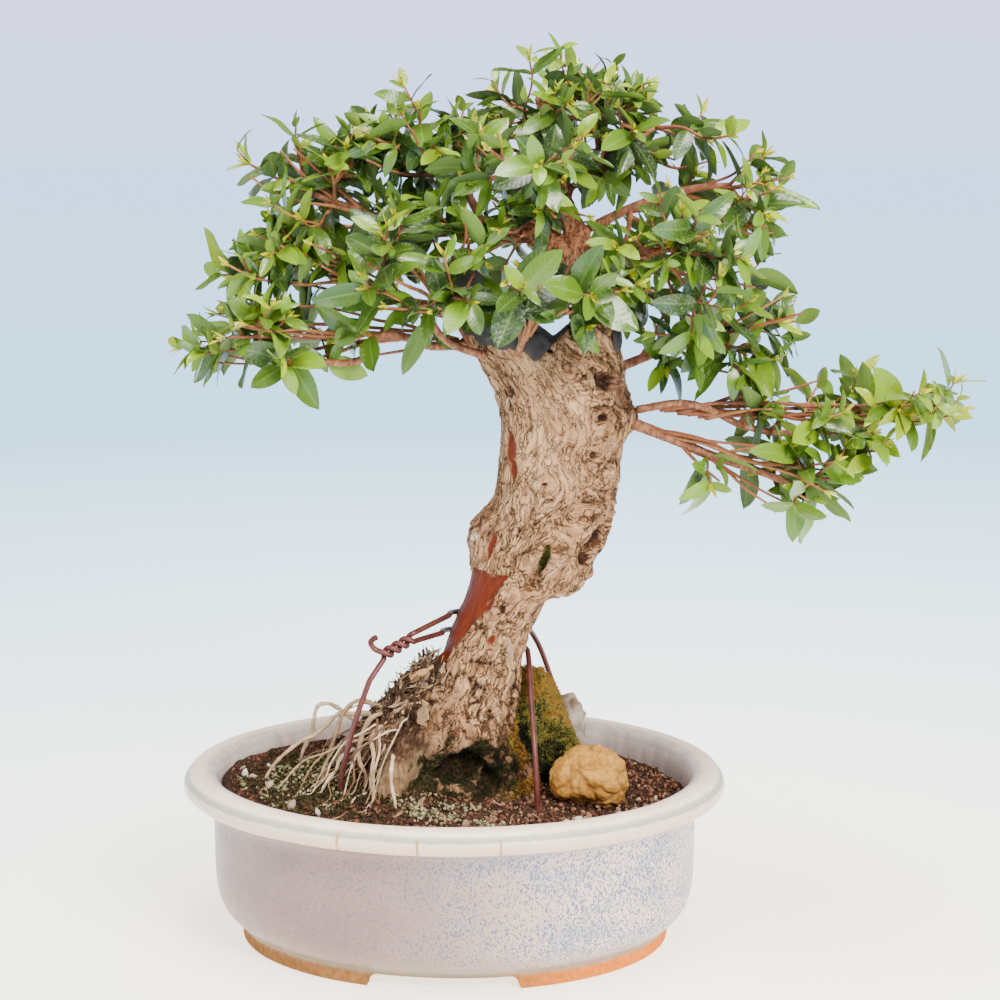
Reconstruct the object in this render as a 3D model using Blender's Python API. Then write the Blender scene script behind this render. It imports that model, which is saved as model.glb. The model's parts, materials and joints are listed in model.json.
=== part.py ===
# Common myrtle bonsai: an old leaning trunk with leafy boughs, in an oval glazed pot.
#
# Everything is laid out in millimetres about the middle of the pot, with the table at z = 0, +X to
# the right and +Y to the back. At the end each mesh is turned into metres, and one empty carries
# them all so that the whole tree stands centred on the origin.

import math
import random

import bmesh
import bpy
from mathutils import Matrix, Vector
from mathutils.bvhtree import BVHTree

# Driving dimensions
POT_HALF_LENGTH = 138.0     # outside of the rim
POT_HEIGHT = 88.0
POT_MIDDLE = 2.0            # the pot's middle stands this far right of the layout's middle
OVAL_SQUEEZE = 25.0         # every oval's half width is this much less than its half length
FOOT_HALF_LENGTH = 108.7
FOOT_HEIGHT = 8.5
RECESS_HEIGHT = 9.5         # underside of the floor, inside the foot ring
FLOOR_HEIGHT = 15.0         # top of the floor, under the soil
FOOT_GAP_WIDTH = 72.0       # the passage between the two feet
DRAIN_OFFSET = 55.0
DRAIN_RADIUS = 9.0
SOIL_LEVEL = 77.5
SOIL_TILT = 0.03            # the soil rises this much for each millimetre to the left
WIRE_RADIUS = 1.4
CLEARANCE = 0.35            # between two pieces that touch
SEAM = 0.6                  # between a bough and its stub on the trunk
BLADE_THICKNESS = 0.62
MERGE_DISTANCE = 0.0015     # closes the slivers that a union leaves

OVAL_SIDES = 36

# The pot's wall as (half length, height), from the underside round the rim to the inner floor
POT_PROFILE = (
    (FOOT_HALF_LENGTH - 11.0, RECESS_HEIGHT),
    (FOOT_HALF_LENGTH - 9.5, 0.0),
    (FOOT_HALF_LENGTH, 0.0),
    (FOOT_HALF_LENGTH + 0.6, FOOT_HEIGHT),
    (POT_HALF_LENGTH - 25.0, 11.5),
    (POT_HALF_LENGTH - 19.0, 18.0),
    (POT_HALF_LENGTH - 16.0, 29.0),
    (POT_HALF_LENGTH - 15.5, 70.0),
    (POT_HALF_LENGTH - 11.0, 74.5),
    (POT_HALF_LENGTH - 2.0, 77.0),
    (POT_HALF_LENGTH, 82.0),
    (POT_HALF_LENGTH - 5.0, POT_HEIGHT),
    (POT_HALF_LENGTH - 14.0, POT_HEIGHT),
    (POT_HALF_LENGTH - 17.5, 85.5),
    (POT_HALF_LENGTH - 19.5, 80.0),
    (POT_HALF_LENGTH - 26.0, 24.0),
    (POT_HALF_LENGTH - 32.0, FLOOR_HEIGHT),
)

# Mounds in the soil: x, y, rise, spread along x, spread along y
SOIL_MOUNDS = (
    (-56.0, -8.0, 10.5, 38.0, 36.0),
    (-12.0, -36.0, 4.0, 30.0, 20.0),
    (44.0, 8.0, 4.5, 30.0, 26.0),
    (84.0, -34.0, -2.0, 26.0, 20.0),
)

# The trunk's sections: height, middle x, middle y, half width, half depth
TRUNK_SECTIONS = (
    (64.0, 8.0, 0.0, 38.0, 35.0),
    (84.0, 7.0, 0.0, 35.0, 33.0),
    (104.0, 8.0, 0.0, 30.0, 29.0),
    (120.0, 9.0, 0.0, 26.5, 26.5),
    (132.0, 12.5, 0.0, 23.0, 25.0),
    (148.0, 16.5, 0.0, 20.8, 24.0),
    (160.0, 21.2, 0.0, 21.5, 24.0),
    (172.0, 28.0, 0.0, 23.0, 25.0),
    (184.0, 34.5, 0.0, 25.5, 26.0),
    (200.0, 42.0, 0.0, 31.0, 28.0),
    (214.0, 47.5, 0.0, 32.5, 29.0),
    (230.0, 53.2, 0.0, 30.3, 29.0),
    (250.0, 54.5, 0.0, 30.0, 29.0),
    (266.0, 55.2, 0.0, 30.2, 29.0),
    (280.0, 52.5, 0.0, 30.5, 28.0),
    (292.0, 46.0, 0.0, 30.0, 26.5),
    (304.0, 37.0, -1.0, 27.0, 24.0),
    (316.0, 30.0, -1.5, 25.0, 21.5),
    (330.0, 24.0, -2.0, 24.0, 18.5),
    (350.0, 17.0, -2.0, 22.0, 15.0),
)

# Burls, hollows and root swellings: height, bearing in degrees, depth (in or out), spread up and
# down, spread round. Bearing 0 is +X, and -90 faces the front.
TRUNK_LUMPS = (
    (185.0, -24.0, 10.5, 10.0, 26.0),
    (168.0, -20.0, -3.0, 8.0, 28.0),
    (267.0, -4.0, 9.5, 9.0, 26.0),
    (283.0, 8.0, 4.0, 8.0, 26.0),
    (211.0, -166.0, 4.5, 10.0, 26.0),
    (222.0, 120.0, 5.0, 14.0, 30.0),
    (250.0, 60.0, -4.0, 16.0, 24.0),
    (178.0, 95.0, -3.0, 20.0, 26.0),
    (205.0, -36.0, -5.0, 6.5, 13.0),
    (193.0, -79.0, -6.5, 8.0, 10.0),
    (231.0, -98.0, -3.5, 13.0, 8.0),
    (282.0, -38.0, -5.0, 6.0, 12.0),
    (92.0, -74.0, -11.0, 9.0, 24.0),
    (86.0, -124.0, 9.0, 16.0, 17.0),
    (84.0, -20.0, 6.0, 14.0, 18.0),
    (84.0, 75.0, 8.0, 18.0, 20.0),
    (86.0, 150.0, 6.0, 18.0, 22.0),
)

# The slanting saw cut across the left half of the top: its high and low ends as seen from the
# front, and the foot of the leader where the saw stopped
SAW_CUT_HIGH = Vector((3.0, 0.0, 344.0))
SAW_CUT_LOW = Vector((49.0, 0.0, 303.0))
SAW_STOP_TOP = Vector((66.0, 0.0, 320.0))

# Limbs that are one with the trunk: route, then the radius along it
LEADER = (
    ((66, 2, 262), (69, 2, 284), (70.5, 1, 303), (70, 0, 318), (69, 0, 331), (66, 2, 346), (60, 4, 362),
     (54, 6, 380), (50, 8, 395)),
    (19.0, 17.5, 15.5, 12.5, 9.0, 7.0, 5.6, 4.4, 3.4),
)
LEFT_LIMB = (
    ((68, 1, 338), (54, 0, 350), (37, -3, 357), (18, -5, 360), (0, -6, 359), (-15, -8, 358)),
    (6.0, 4.8, 4.2, 3.8, 3.3, 3.0),
)

# Roots above the soil, the thick ones first: route, first radius, last radius
THICK_ROOTS = (
    (((4, -6, 143), (-12, -10, 131), (-26, -14, 115), (-35, -18, 98), (-40, -20, 72)), 10.0, 8.0),
    (((2, 6, 136), (-20, 8, 122), (-42, 10, 103), (-60, 10, 74)), 10.0, 6.0),
    (((-10, -20, 108), (-22, -30, 96), (-30, -36, 76)), 11.0, 8.0),
    (((26, 14, 112), (32, 32, 96), (30, 48, 70)), 10.0, 6.5),
)
THIN_ROOTS = (
    (((-28, -14, 122), (-46, -16, 125), (-56, -22, 112), (-62, -28, 92), (-66, -32, 76)), 1.8, 0.9),
    (((-30, -18, 120), (-40, -24, 120), (-42, -29, 106), (-41, -33, 92), (-40, -36, 74)), 1.9, 1.1),
    (((-30, -20, 114), (-36, -32, 114), (-36, -40, 98), (-35, -45, 86), (-34, -48, 74)), 1.7, 0.9),
    (((-34, -14, 116), (-54, -8, 117), (-70, -8, 104), (-88, -16, 91), (-98, -24, 76)), 1.9, 0.9),
    (((-44, 6, 106), (-60, 2, 116), (-66, 0, 121), (-70, 0, 108), (-78, 2, 78)), 1.7, 1.0),
    (((-40, -20, 104), (-52, -28, 100), (-60, -36, 88), (-64, -40, 74)), 1.5, 0.8),
    (((-26, -30, 102), (-27, -42, 100), (-25, -48, 88), (-24, -52, 74)), 1.5, 0.9),
)

# Anchor wire: two strands twisted together over the roots, then round the back of the trunk
WIRE_LEFT_LEG = ((-51.5, -38, 68), (-51.5, -38, 88), (-47.5, -39, 108), (-43, -39.5, 124), (-37, -36.5, 141))
TWIST_START = Vector((-31.0, -31.5, 152.5))
TWIST_END = Vector((-16.5, -22.0, 159.5))
TWIST_TURNS = 2.0
TWIST_RADIUS = WIRE_RADIUS + 0.65
WIRE_OFF_TRUNK = 1.5        # between trunk and wire where it bends round
# How each wire goes round the trunk: first height, last height, first bearing, last bearing
WIRE_FRONT_TURN = (158.0, 145.0, 192.0, 2.0)
WIRE_BACK_TURN = (167.0, 158.0, 190.0, 50.0)
WIRE_FRONT_LEG = ((41.5, -15, 128), (43.5, -29, 110), (45, -35, 92), (46, -37, 68))
WIRE_BACK_LEG = ((43, 34, 144), (49, 41, 126), (55, 44, 104), (58, 45, 68))
WIRE_TAIL = ((-35.0, -33.5, 156.5), (-37.0, -30.0, 159.0), (-34.5, -26.5, 160.5))

# Stones: middle, half sizes, turn about z in degrees
MOSSY_ROCK = (Vector((44, 10, 94)), Vector((23, 24, 44)), -12.0)
GREY_STONE = (Vector((61, 17, 103)), Vector((8.5, 11, 19)), 18.0)
YELLOW_STONE = (Vector((71, -19, 89)), Vector((20, 13.5, 15)), 8.0)

# Boughs: route from inside its limb, first and last radius, middle and half sizes of its leafy
# pad, number of shoots, usual leaf length
BOUGHS = {
    "bough_low_left": (
        ((20, -6, 300), (5, -9, 306), (-3, -15, 303), (-19, -22, 308), (-29, -25, 314), (-36, -30, 301),
         (-52, -32, 297), (-87, -35, 303)),
        2.3, 1.2, (-78, -31, 309), (45, 34, 20), 7, 27.0),
    "bough_left_middle": (
        ((14, 2, 310), (-4, 2, 318), (-22, -4, 325), (-42, -12, 334), (-64, -18, 343)),
        2.2, 1.2, (-74, -22, 344), (38, 36, 23), 4, 26.0),
    "bough_front_left": (
        ((26, -12, 296), (13, -24, 302), (0, -31, 309), (-7, -36, 325), (4, -38, 342), (12, -40, 352)),
        2.0, 1.1, (-8, -50, 346), (36, 24, 34), 5, 26.0),
    "bough_front": (
        ((34, -18, 296), (36, -28, 304), (42, -38, 318), (52, -42, 330), (70, -44, 339)),
        1.8, 1.0, (52, -56, 336), (38, 18, 18), 3, 27.0),
    "bough_left_high": (
        ((-10, -8, 358), (-21, -9, 359), (-42, -12, 368), (-70, -15, 379)),
        2.6, 1.2, (-66, -12, 378), (38, 34, 26), 5, 24.0),
    "bough_left_back": (
        ((0, -6, 359), (-6, 6, 361), (-24, 26, 361), (-46, 44, 358)),
        2.2, 1.1, (-52, 46, 350), (42, 30, 30), 3, 24.0),
    "bough_top_left": (
        ((18, -5, 360), (14, -7, 370), (4, -9, 386), (-10, -10, 400)),
        2.2, 1.1, (-16, -12, 402), (34, 36, 22), 5, 23.0),
    "bough_top_front": (
        ((60, 4, 362), (56, -6, 369), (51, -24, 380), (46, -38, 390)),
        2.2, 1.1, (40, -48, 384), (40, 26, 28), 4, 24.0),
    "bough_top": (
        ((51, 8, 388), (49, 8, 400), (46, 6, 412), (43, 4, 422)),
        2.6, 1.2, (51, 5, 419), (45, 38, 18), 6, 21.0),
    "bough_top_right": (
        ((56, 6, 374), (66, 5, 384), (82, 4, 398), (100, 2, 408)),
        2.4, 1.1, (102, 0, 405), (40, 36, 25), 4, 23.0),
    "bough_right_high": (
        ((62, 4, 356), (74, 1, 362), (92, -3, 371), (116, -6, 379), (136, -6, 381)),
        2.4, 1.1, (138, -4, 373), (34, 36, 26), 4, 24.0),
    "bough_right_front": (
        ((67, 0, 340), (77, -10, 345), (90, -24, 350), (110, -36, 352)),
        2.0, 1.1, (112, -46, 342), (40, 24, 30), 5, 26.0),
    "bough_right_middle": (
        ((74, 12, 287), (88, 15, 291), (102, 16, 297), (120, 15, 304), (146, 13, 310)),
        2.4, 1.2, (142, 2, 315), (36, 36, 31), 5, 25.0),
    "bough_right_back": (
        ((70, 4, 326), (78, 13, 331), (92, 27, 338), (110, 42, 343)),
        2.2, 1.1, (108, 50, 344), (42, 30, 32), 3, 24.0),
    "bough_back": (
        ((66, 4, 345), (60, 16, 350), (50, 34, 355), (38, 52, 358)),
        2.2, 1.1, (28, 60, 352), (44, 28, 34), 3, 24.0),
    "bough_back_top": (
        ((54, 8, 380), (50, 18, 387), (42, 32, 396), (34, 44, 402)),
        2.0, 1.1, (30, 44, 396), (40, 34, 24), 3, 23.0),
    "bough_tail": (
        ((86, -3, 270), (96, -5, 272), (110, -7, 275), (124, -8, 274), (138, -8, 267), (153, -8, 262),
         (176, -9, 261), (204, -10, 265), (232, -12, 279)),
        1.9, 1.1, (199, -9, 273), (57, 26, 17), 8, 27.0),
    "bough_low_right": (
        ((84, -6, 267), (94, -8, 264), (108, -10, 259), (124, -12, 252), (140, -14, 247), (153, -15, 243),
         (172, -18, 235)),
        2.8, 1.5, (164, -15, 243), (37, 26, 20), 5, 26.0),
}
STUB_LENGTH = 7.0           # of each bough's route that stays on the trunk, measured from its limb's skin

CROWN_MIDDLE = Vector((38.0, 0.0, 335.0))
UP = Vector((0.0, 0.0, 1.0))

COLOURS = {
    "pot": ((0.62, 0.58, 0.60), 0.3),
    "soil": ((0.13, 0.07, 0.05), 0.95),
    "mesh": ((0.03, 0.03, 0.03), 0.5),
    "bark": ((0.45, 0.36, 0.27), 0.9),
    "paste": ((0.09, 0.09, 0.10), 0.6),
    "wire": ((0.20, 0.07, 0.06), 0.35),
    "moss": ((0.14, 0.15, 0.03), 1.0),
    "grey_stone": ((0.35, 0.34, 0.31), 0.8),
    "yellow_stone": ((0.62, 0.45, 0.22), 0.85),
    "leaf": ((0.09, 0.22, 0.05), 0.4),
}


# Smooth curves

def smooth_route(points, step):
    """Points about a step apart on a Catmull-Rom curve through the given ones."""
    knots = [Vector(p) for p in points]
    knots = [2 * knots[0] - knots[1]] + knots + [2 * knots[-1] - knots[-2]]
    fine = []
    for a, b, c, d in zip(knots, knots[1:], knots[2:], knots[3:]):
        for k in range(12):
            t = k / 12
            fine.append(0.5 * (2 * b + (c - a) * t + (2 * a - 5 * b + 4 * c - d) * t * t
                               + (3 * b - 3 * c + d - a) * t ** 3))
    fine.append(knots[-2])
    return spaced(fine, step)


def spaced(fine, step):
    """The polyline again, with its points evenly spaced."""
    reach = [0.0]
    for a, b in zip(fine, fine[1:]):
        reach.append(reach[-1] + (b - a).length)
    count = max(2, round(reach[-1] / step))
    even = []
    k = 0
    for i in range(count + 1):
        goal = reach[-1] * i / count
        while k < len(reach) - 2 and reach[k + 1] < goal:
            k += 1
        span = max(reach[k + 1] - reach[k], 1e-9)
        even.append(fine[k].lerp(fine[k + 1], (goal - reach[k]) / span))
    return even


def thinned(fine, longest, sharpest):
    """The polyline with only the points that its length and its bends need."""
    kept = [fine[0]]
    heading = (fine[1] - fine[0]).normalized()
    for a, b in zip(fine[1:], fine[2:]):
        way = (b - a).normalized()
        if (a - kept[-1]).length > longest or heading.angle(way) > sharpest:
            kept.append(a)
            heading = way
    return kept + [fine[-1]]


def spread(values, count):
    """A list of values stretched to the given number of them."""
    out = []
    for i in range(count):
        t = (len(values) - 1) * i / (count - 1)
        k = min(int(t), len(values) - 2)
        out.append(values[k] + (values[k + 1] - values[k]) * (t - k))
    return out


# Shapes are plain (points, faces) pairs in millimetres until they become objects

def loft(rings, triangles=False):
    """A closed skin over rings of equal count, capped at both ends."""
    sides = len(rings[0])
    points = [p for ring in rings for p in ring]
    faces = [tuple(reversed(range(sides)))]
    for k in range(len(rings) - 1):
        low = k * sides
        for i in range(sides):
            j = (i + 1) % sides
            quad = (low + i, low + j, low + sides + j, low + sides + i)
            faces += [quad[:3], (quad[0], *quad[2:])] if triangles else [quad]
    top = (len(rings) - 1) * sides
    faces.append(tuple(range(top, top + sides)))
    return points, faces


def tube(points, radii, sides, first_heading=None, last_heading=None, triangles=False):
    """A round bar through the points."""
    rings = []
    side = None
    last = len(points) - 1
    for i, point in enumerate(points):
        heading = (points[min(i + 1, last)] - points[max(i - 1, 0)]).normalized()
        if i == 0 and first_heading:
            heading = first_heading
        if i == last and last_heading:
            heading = last_heading
        if side is None:
            side = heading.orthogonal()
        side = (side - heading * side.dot(heading)).normalized()
        other = heading.cross(side)
        ring = []
        for k in range(sides):
            turn = 2 * math.pi * k / sides
            ring.append(point + (side * math.cos(turn) + other * math.sin(turn)) * radii[i])
        rings.append(ring)
    return loft(rings, triangles)


def oval_ring(half_length, height, sides):
    ring = []
    for k in range(sides):
        turn = 2 * math.pi * k / sides
        ring.append(Vector((POT_MIDDLE + half_length * math.cos(turn),
                            (half_length - OVAL_SQUEEZE) * math.sin(turn), height)))
    return ring


def block(low, high):
    """An upright box between two corners."""
    (x0, y0, z0), (x1, y1, z1) = low, high
    rings = [[Vector(p) for p in ((x0, y0, z), (x1, y0, z), (x1, y1, z), (x0, y1, z))] for z in (z0, z1)]
    return loft(rings)


def pebble(middle, half_sizes, turn_degrees, detail, knobs, roughness, grow=0.0):
    """A lumpy stone: an icosphere with seeded knobs."""
    bm = bmesh.new()
    bmesh.ops.create_icosphere(bm, subdivisions=detail, radius=1.0)
    turn = Matrix.Rotation(math.radians(turn_degrees), 3, "Z")
    draw = random.Random(knobs)
    bumps = []
    for _ in range(knobs):
        way = Vector((draw.uniform(-1, 1), draw.uniform(-1, 1), draw.uniform(-1, 1))).normalized()
        bumps.append((way, draw.uniform(-1.0, 1.0) * roughness))
    points = []
    for vert in bm.verts:
        way = vert.co.normalized()
        size = 1.0 + sum(rise * math.exp(-(way - b).length_squared / 0.18) for b, rise in bumps)
        shaped = Vector([way[i] * (half_sizes[i] * size + grow) for i in range(3)])
        points.append(middle + turn @ shaped)
    faces = [tuple(v.index for v in face.verts) for face in bm.faces]
    bm.free()
    return points, faces


# Objects

def material(kind):
    found = bpy.data.materials.new(kind)
    found.use_nodes = True
    shader = found.node_tree.nodes["Principled BSDF"]
    colour, roughness = COLOURS[kind]
    shader.inputs["Base Color"].default_value = (*colour, 1.0)
    shader.inputs["Roughness"].default_value = roughness
    shader.inputs["Metallic"].default_value = 1.0 if kind == "wire" else 0.0
    return found


def mesh_object(name, shape):
    mesh = bpy.data.meshes.new(name)
    mesh.from_pydata([tuple(p) for p in shape[0]], [], shape[1])
    mesh.update()
    return bpy.data.objects.new(name, mesh)


def combine(name, shape, tools, operation, solver="EXACT"):
    """The shape joined with, or cut by, all the tools, as one plain mesh object."""
    result = mesh_object(name, shape)
    bpy.context.scene.collection.objects.link(result)
    helpers = bpy.data.collections.new(name + "_tools")
    bpy.context.scene.collection.children.link(helpers)
    for tool in tools:
        helpers.objects.link(mesh_object(name + "_tool", tool))
    step = result.modifiers.new("combine", "BOOLEAN")
    step.operation = operation
    step.operand_type = "COLLECTION"
    step.collection = helpers
    step.solver = solver
    bpy.context.view_layer.update()
    seen = result.evaluated_get(bpy.context.evaluated_depsgraph_get())
    mesh = bpy.data.meshes.new_from_object(seen)
    result.modifiers.clear()
    result.data = mesh
    for helper in list(helpers.objects):
        bpy.data.objects.remove(helper)
    bpy.data.collections.remove(helpers)
    keep_main_body(result)
    return result


def keep_main_body(thing):
    """Drops loose scraps and fills sealed hollows: only the largest closed skin stays."""
    bm = bmesh.new()
    bm.from_mesh(thing.data)
    bmesh.ops.remove_doubles(bm, verts=bm.verts, dist=MERGE_DISTANCE)
    bodies = []
    left = set(bm.faces)
    while left:
        body = [left.pop()]
        for face in body:
            for edge in face.edges:
                for other in edge.link_faces:
                    if other in left:
                        left.remove(other)
                        body.append(other)
        bodies.append(body)
    bodies.sort(key=len)
    scraps = [face for body in bodies[:-1] for face in body]
    bmesh.ops.delete(bm, geom=scraps, context="FACES")
    loose = [vert for vert in bm.verts if not vert.link_faces]
    bmesh.ops.delete(bm, geom=loose, context="VERTS")
    bm.to_mesh(thing.data)
    bm.free()


def as_node(name, thing, kind):
    """Links the object under its node's name, with its own material."""
    if thing.name not in bpy.context.scene.collection.objects:
        bpy.context.scene.collection.objects.link(thing)
    thing.name = name
    thing.data.name = name
    thing.data.materials.clear()
    thing.data.materials.append(material(kind))
    thing.data.shade_smooth()
    thing.data.set_sharp_from_angle(angle=math.radians(35))
    return thing


# Pot, soil and drain meshes

def make_pot():
    wall = loft([oval_ring(half, height, OVAL_SIDES) for half, height in POT_PROFILE])
    half = FOOT_GAP_WIDTH / 2
    reach = POT_HALF_LENGTH
    passage = []
    for y in (-reach, reach):
        passage.append([Vector((POT_MIDDLE + x, y, z)) for x, z in ((half + 4, -1), (-half - 4, -1),
                                                                   (-half + 3, FOOT_HEIGHT - 1.5),
                                                                   (half - 3, FOOT_HEIGHT - 1.5))])
    tools = [loft(passage)]
    for x in (-DRAIN_OFFSET, DRAIN_OFFSET):
        ends = [Vector((POT_MIDDLE + x, 0, RECESS_HEIGHT - 2)), Vector((POT_MIDDLE + x, 0, FLOOR_HEIGHT + 2))]
        tools.append(tube(ends, (DRAIN_RADIUS, DRAIN_RADIUS), 12))
    return as_node("pot", combine("pot", wall, tools, "DIFFERENCE"), "pot")


DRAIN_MESH_HALF = 15.0
DRAIN_MESH_THICKNESS = 0.8


def make_drain_mesh(name, x):
    """A square of plastic mesh over a drain hole."""
    low = FLOOR_HEIGHT + CLEARANCE
    half = DRAIN_MESH_HALF
    sheet = block((x - half, -half, low), (x + half, half, low + DRAIN_MESH_THICKNESS))
    holes = []
    for across in (-4.5, 4.5):
        for along in (-4.5, 4.5):
            holes.append(block((x + across - 3.5, along - 3.5, low - 1),
                               (x + across + 3.5, along + 3.5, low + 2)))
    return as_node(name, combine(name, sheet, holes, "DIFFERENCE"), "mesh")


def soil_height(x, y):
    height = SOIL_LEVEL - SOIL_TILT * x
    for mound_x, mound_y, rise, spread_x, spread_y in SOIL_MOUNDS:
        height += rise * math.exp(-((x - mound_x) / spread_x) ** 2 - ((y - mound_y) / spread_y) ** 2)
    return height


def wall_inside(height):
    """The pot's inner half length at a height between the floor's curve and the rim."""
    low, high = POT_PROFILE[-2], POT_PROFILE[-3]
    return low[0] + (high[0] - low[0]) * (height - low[1]) / (high[1] - low[1])


def make_soil(tools):
    """The filling of the pot, with a pocket or a hole for all that stands in it."""
    bottom = FLOOR_HEIGHT + 2 * CLEARANCE + DRAIN_MESH_THICKNESS
    sides = OVAL_SIDES
    curve_start = POT_PROFILE[-2][1] + 1.0
    rings = [oval_ring(POT_PROFILE[-1][0] - 0.6, bottom, sides),
             oval_ring(wall_inside(curve_start) - 0.6, curve_start, sides)]
    for share in (1.0, 0.8, 0.55, 0.3):
        ring = []
        for k in range(sides):
            turn = 2 * math.pi * k / sides
            edge = wall_inside(SOIL_LEVEL) - 0.6
            x = POT_MIDDLE + share * edge * math.cos(turn)
            y = share * (edge - OVAL_SQUEEZE) * math.sin(turn)
            ring.append(Vector((x, y, soil_height(x, y))))
        rings.append(ring)
    return as_node("soil", combine("soil", loft(rings), tools, "DIFFERENCE", "MANIFOLD"), "soil")


# Trunk

def trunk_section(height):
    """Middle x, middle y, half width and half depth at a height."""
    rows = TRUNK_SECTIONS
    k = 0
    while k < len(rows) - 2 and rows[k + 1][0] < height:
        k += 1
    before, low, high, after = rows[max(k - 1, 0)], rows[k], rows[k + 1], rows[min(k + 2, len(rows) - 1)]
    t = (height - low[0]) / (high[0] - low[0])
    out = []
    for i in range(1, 5):
        start = (high[i] - before[i]) / (high[0] - before[0]) * (high[0] - low[0])
        end = (after[i] - low[i]) / (after[0] - low[0]) * (high[0] - low[0])
        out.append((2 * t ** 3 - 3 * t * t + 1) * low[i] + (t ** 3 - 2 * t * t + t) * start
                   + (3 * t * t - 2 * t ** 3) * high[i] + (t ** 3 - t * t) * end)
    return out


def trunk_point(height, bearing, grow):
    """A point on the trunk's skin, with its burls and hollows."""
    middle_x, middle_y, half_width, half_depth = trunk_section(height)
    swell = grow
    for lump_height, lump_bearing, depth, spread_up, spread_round in TRUNK_LUMPS:
        off = (math.degrees(bearing) - lump_bearing + 180.0) % 360.0 - 180.0
        swell += depth * math.exp(-((height - lump_height) / spread_up) ** 2 - (off / spread_round) ** 2)
    return Vector((middle_x + (half_width + swell) * math.cos(bearing),
                   middle_y + (half_depth + swell) * math.sin(bearing), height))


TRUNK_SIDES = 18
TRUNK_RINGS = 22


def saw_wedge(shift):
    """The block of wood that the saw took away, moved off the cut by the shift."""
    slope = (SAW_CUT_LOW - SAW_CUT_HIGH).normalized()
    facing = Vector((-slope.z, 0.0, slope.x))
    reach = 60.0
    outline = [SAW_CUT_HIGH - slope * reach, SAW_CUT_LOW, SAW_STOP_TOP, SAW_STOP_TOP + UP * reach]
    outline.append(Vector((outline[0].x, 0.0, outline[-1].z)))
    rings = []
    for y in (-reach, reach):
        rings.append([point + facing * shift + Vector((0.0, y, 0.0)) for point in outline[::-1]])
    return loft(rings)


def trunk_skin(grow, cut_shift=0.0):
    """The trunk without its limbs, sawn off slantwise at the left of its top."""
    low, high = TRUNK_SECTIONS[0][0], TRUNK_SECTIONS[-1][0]
    rings = []
    for k in range(TRUNK_RINGS):
        height = low + (high - low) * k / (TRUNK_RINGS - 1)
        rings.append([trunk_point(height, 2 * math.pi * i / TRUNK_SIDES, grow) for i in range(TRUNK_SIDES)])
    rings[0] = [point - UP * grow for point in rings[0]]
    skin = loft(rings, triangles=True)
    return shape_from(combine("trunk_skin", skin, [saw_wedge(cut_shift)], "DIFFERENCE"))


def shape_from(thing):
    """An object's mesh as a (points, faces) pair again; the object goes."""
    points = [vert.co.copy() for vert in thing.data.vertices]
    faces = [tuple(face.vertices) for face in thing.data.polygons]
    bpy.data.objects.remove(thing)
    return points, faces


def limb(route, radii, step, sides, grow=0.0):
    points = smooth_route(route, step)
    radii = [radius + grow for radius in spread(radii, len(points))]
    return tube(lengthened(points, grow), radii, sides, triangles=True)


def lengthened(points, extra):
    """The points with both ends drawn out a little."""
    first = points[0] + (points[0] - points[1]).normalized() * extra
    last = points[-1] + (points[-1] - points[-2]).normalized() * extra
    return [first] + points[1:-1] + [last]


def root_shapes(grow=0.0):
    shapes = []
    for route, first, last in THICK_ROOTS:
        shapes.append(limb(route, (first, last), 16.0, 7, grow))
    for route, first, last in THIN_ROOTS:
        shapes.append(limb(route, (first, last), 13.0, 4, grow))
    return shapes


def bough_cut(name):
    """A bough's smooth route, and the place along it where stub and bough part."""
    route, first_radius, last_radius = BOUGHS[name][:3]
    fine = smooth_route(route, 0.5)
    reach = STUB_LENGTH + (Vector(route[1]) - Vector(route[0])).length * 0.5
    k = round(reach / 0.5)
    heading = (fine[k + 2] - fine[k - 2]).normalized()
    return fine, k, heading, first_radius, last_radius


def stub_shape(name, grow=0.0):
    fine, k, heading, radius, _ = bough_cut(name)
    return tube([fine[0], fine[k]], [radius + grow] * 2, 5, last_heading=heading)


def limb_shapes(grow=0.0):
    shapes = [limb(LEADER[0], LEADER[1], 14.0, 9, grow), limb(LEFT_LIMB[0], LEFT_LIMB[1], 14.0, 6, grow)]
    return shapes + [stub_shape(name, grow) for name in BOUGHS]


def make_trunk():
    tools = limb_shapes() + root_shapes()
    return as_node("trunk", combine("trunk", trunk_skin(0.0), tools, "UNION", "MANIFOLD"), "bark")


PASTE_THICKNESS = 2.4
PASTE_APRON = 9.0           # how far the paste runs down over the bark, below the cut


def make_cut_paste():
    """The cap of putty over the saw cut, wrapped down over its edge."""
    cap = trunk_skin(PASTE_THICKNESS, PASTE_THICKNESS)
    cap = shape_from(combine("cap", cap, [saw_wedge(-PASTE_APRON)], "INTERSECT"))
    tools = [trunk_skin(CLEARANCE, CLEARANCE), limb(LEADER[0], LEADER[1], 14.0, 9, CLEARANCE)]
    tools += [stub_shape(name, CLEARANCE) for name in BOUGHS]
    return as_node("cut_paste", combine("cut_paste", cap, tools, "DIFFERENCE", "MANIFOLD"), "paste")


# Anchor wire

def twisted(phase):
    """One strand of the twist, a helix about the line between its two ends."""
    axis = (TWIST_END - TWIST_START).normalized()
    side = axis.cross(UP).normalized()
    other = axis.cross(side)
    count = 18
    points = []
    for k in range(count + 1):
        share = k / count
        turn = 2 * math.pi * (TWIST_TURNS * share + phase)
        middle = TWIST_START.lerp(TWIST_END, share)
        away = side * math.cos(turn) + other * math.sin(turn)
        points.append(middle + away * TWIST_RADIUS)
    return points


def wire_shape(points, grow=0.0):
    """A wire through hand-set points, smoothed and evenly stepped."""
    route = thinned(smooth_route(spaced(points, 2.0), 0.8), 16.0, math.radians(34))
    return tube(lengthened(route, grow), [WIRE_RADIUS + grow] * len(route), 5)


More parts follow.
